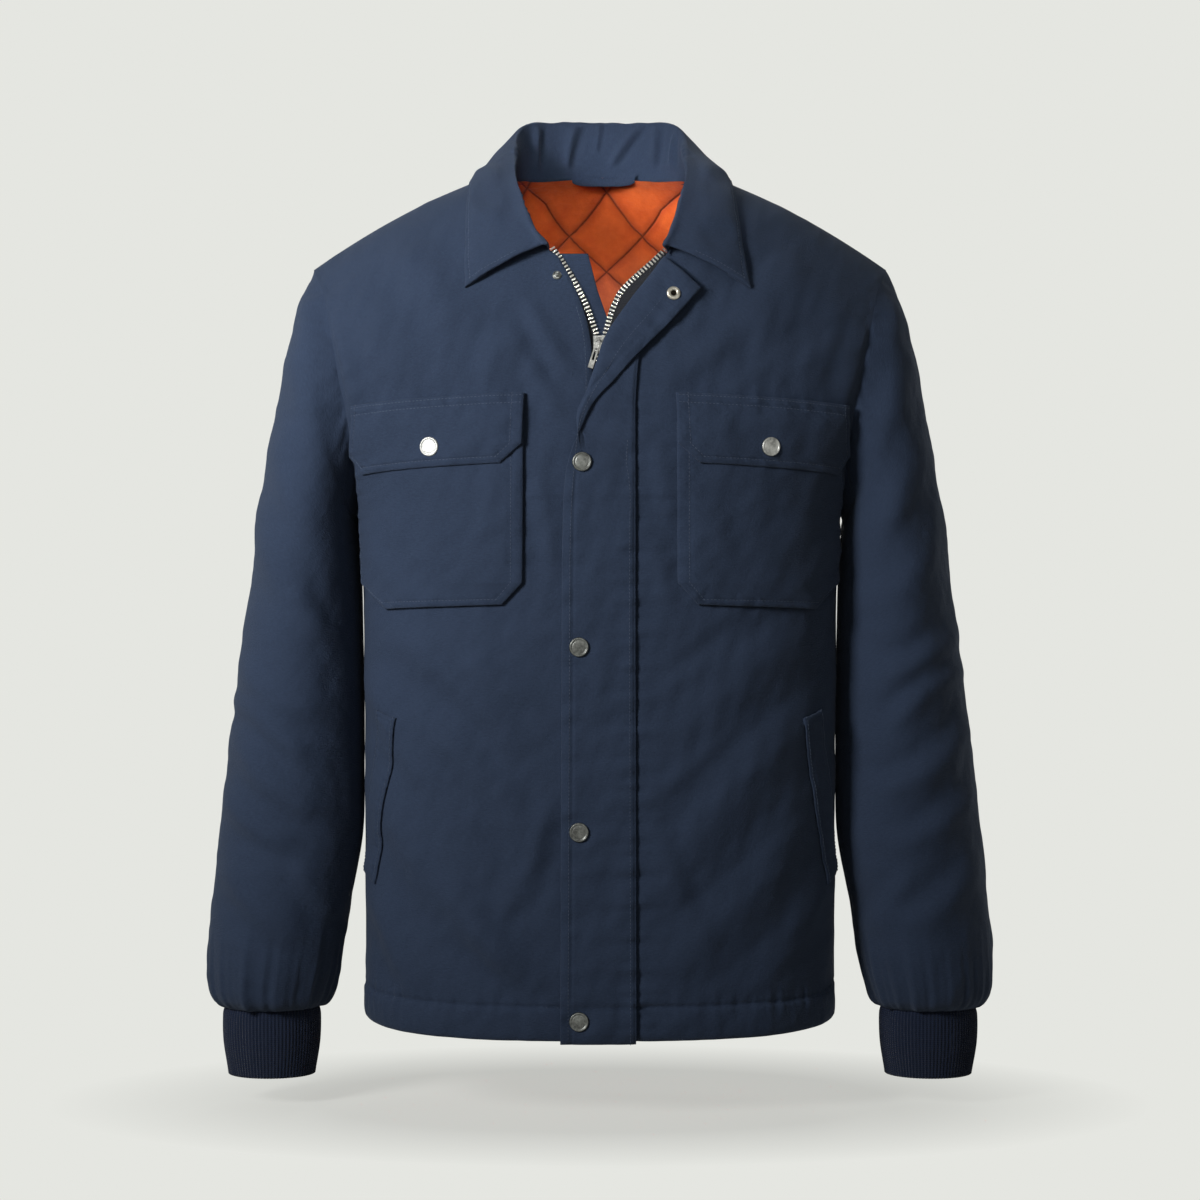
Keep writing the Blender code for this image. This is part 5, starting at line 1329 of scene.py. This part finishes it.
def metal_finish(name, light, dark, low, high, hollow=0.0):
    """Snap and zip metal: a brushed plate with dark tarnish where it gathers. Where a hollow is given, the
    hole at its centre is painted near black as painted shade.
    """
    metal = Finish(name, Metallic=1.0, Roughness=low)
    place = metal.place()
    tarnish = metal.noise(place, 420.0, 4.0, 0.65)
    scratch = metal.noise(place, 2600.0, 2.0, 0.6)
    stain = metal.noise(place, 140.0, 2.0, 0.5)
    amount = metal.range(tarnish + stain * 0.6, 0.55, 1.05)
    colour = metal.mixed(amount, light, dark)
    # painted shade: the hole of a socket, a flat disc at the centre of its profile, is coloured near black
    # out to the hollow's distance
    if hollow:
        from_centre = metal.weave()[1]
        inside = metal.range(from_centre, hollow * 0.9, hollow * 1.1, 1.0, 0.0)
        colour = metal.mixed(inside, colour, (0.010, 0.008, 0.006))
    return metal.feed(Base_Color=colour,
                      Roughness=metal.range(scratch * 0.5 + tarnish * 0.5, 0.3, 0.7, low, high),
                      Normal=metal.bumped(scratch + tarnish, 0.00006, 0.5))


TWILL = twill_finish()
KNIT = knit_finish()
SATIN = satin_finish()
TAPE = tape_finish()
THREAD = thread_finish()
ANTIQUE = metal_finish("antique_metal", (0.17, 0.175, 0.165), (0.045, 0.046, 0.044), 0.26, 0.46)
TOOTH = metal_finish("tooth_metal", (0.80, 0.78, 0.72), (0.34, 0.33, 0.30), 0.20, 0.36)
GREY = metal_finish("grey_metal", (0.46, 0.46, 0.44), (0.15, 0.15, 0.145), 0.24, 0.42)
EYELET = metal_finish("eyelet_metal", (0.50, 0.47, 0.40), (0.16, 0.15, 0.13), 0.22, 0.40, hollow=0.0024)
BRIGHT = metal_finish("bright_metal", (0.62, 0.62, 0.60), (0.32, 0.32, 0.31), 0.46, 0.62)


# ================================================================ repeats made by Geometry Nodes
class Plan:
    """A Geometry Nodes tree and the few ways its nodes are added."""

    def __init__(self, name, **sizes):
        self.tree = bpy.data.node_groups.new(name, "GeometryNodeTree")
        self.tree.interface.new_socket("Geometry", in_out="INPUT", socket_type="NodeSocketGeometry")
        self.sizes, self.ids = sizes, {}
        for size in sizes:
            socket = self.tree.interface.new_socket(size, in_out="INPUT", socket_type="NodeSocketFloat")
            self.ids[size] = socket.identifier
        self.tree.interface.new_socket("Geometry", in_out="OUTPUT", socket_type="NodeSocketGeometry")
        self.given = self.tree.nodes.new("NodeGroupInput").outputs

    def node(self, kind, settings=(), values=()):
        return add_node(self.tree, kind, settings, values)

    def finish(self, geometry, material):
        painted = self.node("GeometryNodeSetMaterial", {}, {"Geometry": geometry, "Material": material})[0]
        self.tree.links.new(painted, self.tree.nodes.new("NodeGroupOutput").inputs[0])


def repeat_along(name, lines, plan, finish, slot):
    """A piece that a plan repeats along polylines of points and directions out of the cloth."""
    points, edges, normals = [], [], []
    for line, out in lines:
        start = len(points)
        points += [tuple(p) for p in line]
        normals += [tuple(n) for n in out]
        edges += [(start + i, start + i + 1) for i in range(len(line) - 1)]
    mesh = bpy.data.meshes.new(name)
    mesh.from_pydata(points, edges, [])
    layer = mesh.attributes.new("out", "FLOAT_VECTOR", "POINT")
    layer.data.foreach_set("vector", np.array(normals, np.float32).ravel())
    guide = placed(name + "_guide", mesh)
    change = guide.modifiers.new("repeat", "NODES")
    change.node_group = plan.tree
    for size, value in plan.sizes.items():
        change[plan.ids[size]] = value
    made = bpy.data.meshes.new_from_object(guide.evaluated_get(bpy.context.evaluated_depsgraph_get()))
    guide.modifiers.remove(change)
    bpy.data.objects.remove(guide)
    made.name = name
    return finished(placed(name, made), finish, slot)


def placed_along(plan, shape):
    """Sets a shape at even steps along the guide, with its X along it and its Z out of the cloth."""
    curve = plan.node("GeometryNodeMeshToCurve", {}, {"Mesh": plan.given["Geometry"]})[0]
    dots = plan.node("GeometryNodeResampleCurve", {"mode": "LENGTH"},
                     {"Curve": curve, "Length": plan.given["Pitch"]})[0]
    out = plan.node("GeometryNodeInputNamedAttribute", {"data_type": "FLOAT_VECTOR"}, {"Name": "out"})[0]
    forward = plan.node("GeometryNodeInputTangent")[0]
    turned = plan.node("FunctionNodeAxesToRotation", {"primary_axis": "Z", "secondary_axis": "X"},
                       {0: out, 1: forward})[0]
    placed = plan.node("GeometryNodeInstanceOnPoints", {},
                       {"Points": dots, "Instance": shape, "Rotation": turned})[0]
    return plan.node("GeometryNodeRealizeInstances", {}, {"Geometry": placed})[0]


def stitch_plan():
    """Lockstitch: short twisted threads, each a flattened bead along the line, sunk a little into the cloth.
    """
    plan = Plan("stitches", Pitch=0.0030, Length=0.0024, Thread=0.00052)
    bead = plan.node("GeometryNodeMeshUVSphere", {}, {"Segments": 6, "Rings": 3, "Radius": 0.5})[0]
    size = plan.node("ShaderNodeCombineXYZ", {}, {0: plan.given["Length"], 1: plan.given["Thread"],
                                                  2: plan.given["Thread"]})[0]
    shaped = plan.node("GeometryNodeTransform", {}, {"Geometry": bead, "Scale": size})[0]
    plan.finish(placed_along(plan, shaped), THREAD)
    return plan


def tooth_plan():
    """Metal zip teeth: a narrow block with a rounded head."""
    plan = Plan("zip_teeth", Pitch=0.0032, Width=0.0042, Height=0.0014, Depth=0.0012)
    size = plan.node("ShaderNodeCombineXYZ", {}, {0: plan.given["Depth"], 1: plan.given["Width"],
                                                  2: plan.given["Height"]})[0]
    block = plan.node("GeometryNodeMeshCube", {}, {"Size": size})[0]
    head = plan.node("GeometryNodeMeshUVSphere", {}, {"Segments": 6, "Rings": 4, "Radius": 0.00075})[0]
    moved = plan.node("GeometryNodeTransform", {}, {"Geometry": head, "Translation": (0.0, 0.0, 0.0003)})[0]
    joined = plan.node("GeometryNodeJoinGeometry")
    tree = plan.tree
    tree.links.new(block, joined[0].node.inputs[0])
    tree.links.new(moved, joined[0].node.inputs[0])
    plan.finish(placed_along(plan, joined[0]), ANTIQUE)
    return plan


def sew_shell():
    """Stitch lines of the shell itself: the hem all round, and down the right front edge."""
    turn = np.linspace(-1.50, 1.50, 500)
    for face, relief in ((-1, front_relief), (1, back_relief)):
        z = hem_z(turn) + HEM_STITCH
        x = body_point(turn, z, face)[:, 0]
        keep = np.abs(x) > (0.009 if face < 0 else -1)
        for part in ((x < 0) & keep, (x >= 0) & keep):
            here, out = body_frame(x[part], z[part], face)
            sew(here + out * relief(x[part], z[part])[:, None], out)
    z = np.linspace(-0.112, -0.665, 260)
    fine = curve_through(RIGHT_EDGE, np.linspace(0, 1, 200))
    x = -np.interp(z, fine[:, 1], fine[:, 0]) - 0.0048
    sew(*over_front(x, z, 0.0))


# profiles of the turned metal: out from the centre, as a share of the radius for the cap, and height
CAP = [
    (0.01, 0.0021), (0.30, 0.0021), (0.58, 0.0020), (0.70, 0.0018), (0.77, 0.0020), (0.85, 0.0024),
    (0.93, 0.0023), (0.985, 0.0017), (1.0, 0.0011), (0.985, 0.0004), (0.95, 0.0)]
RING = [
    (0.0001, 0.0004), (0.0017, 0.0004), (0.0021, 0.0008), (0.0026, 0.0015), (0.0036, 0.0018),
    (0.0048, 0.0016), (0.0055, 0.0010), (0.0056, 0.0004), (0.0054, 0.0)]
BALL = [
    (0.0001, 0.0034), (0.0009, 0.0033), (0.0015, 0.0030), (0.0017, 0.0025), (0.0014, 0.0018),
    (0.0014, 0.0013), (0.0022, 0.0010), (0.0032, 0.0010), (0.0036, 0.0006), (0.0036, 0.0)]


def turned_piece(name, profile, x, z, lift, finish, slot, steps=44):
    """A turned metal piece standing on the front at x and z, its base this far over the plain form."""
    here, out = body_frame(x, z)
    across = unit(np.cross([0.0, 0.0, 1.0], out))
    up = np.cross(out, across)
    fine = curve_through(profile, np.linspace(0, 1, 5 * len(profile)))
    angle = 2 * math.pi * np.arange(steps) / steps
    ring = np.cos(angle)[:, None] * across + np.sin(angle)[:, None] * up
    net = here + out * (lift + fine[:, 1])[:, None, None] + ring[None] * fine[:, 0][:, None, None]
    inward = float(np.sum(net_normals(net, closed=True)[:4] @ out)) < 0
    return net_piece(name, net, finish, slot, closed=True, flip=inward)


def make_snaps():
    cap = [(share * SNAP_RADIUS, high) for share, high in CAP]
    for number, spot in enumerate(FLY_SPOTS, start=1):
        turned_piece(f"fly_snap_{number}", cap, *spot, ANTIQUE, "antique_metal")
    snap_x, snap_z = POCKET_SNAP
    turned_piece("pocket_snap_right", cap, -snap_x, snap_z, FLAP_SNAP_LIFT, BRIGHT, "bright_metal")
    turned_piece("pocket_snap_left", cap, snap_x, snap_z, FLAP_SNAP_LIFT, GREY, "antique_metal")
    turned_piece("top_socket", RING, *SOCKET, EYELET, "antique_metal")
    turned_piece("top_stud", BALL, *STUD, ANTIQUE, "antique_metal")


def make_zip_teeth():
    lines = []
    for teeth, side in ((RIGHT_TEETH, -1), (LEFT_TEETH, 1)):
        line = flowing(teeth, np.linspace(0.0, 1.0, 400))
        points, out = over_front(line[:, 0] + 0.0004 * side, line[:, 1], TAPE_LIFT + 0.0014, 0.6)
        lines.append((points, out))
    repeat_along("zip_teeth", lines, tooth_plan(), TOOTH, "antique_metal")


# ================================================================ the dressed jacket
make_fronts(TWILL)
make_back(TWILL)
for side, side_name in SIDE_NAMES.items():
    make_sleeve(f"sleeve_{side_name}", side, TWILL)
    make_cuff(f"cuff_{side_name}", side, KNIT)
make_collar(TWILL)
make_pockets(TWILL)
make_fly_flap(TWILL)
make_tapes(TAPE, TWILL)
make_linings(SATIN)
make_hanger_loop(TWILL)
sew_shell()
make_zip_teeth()
repeat_along("stitching", STITCH_LINES, stitch_plan(), THREAD, "navy_twill")
make_snaps()

for node in ("zip_slider", "zip_pull"):
    for material_slot in frame["nodes"][node].material_slots:
        material_slot.material = GREY
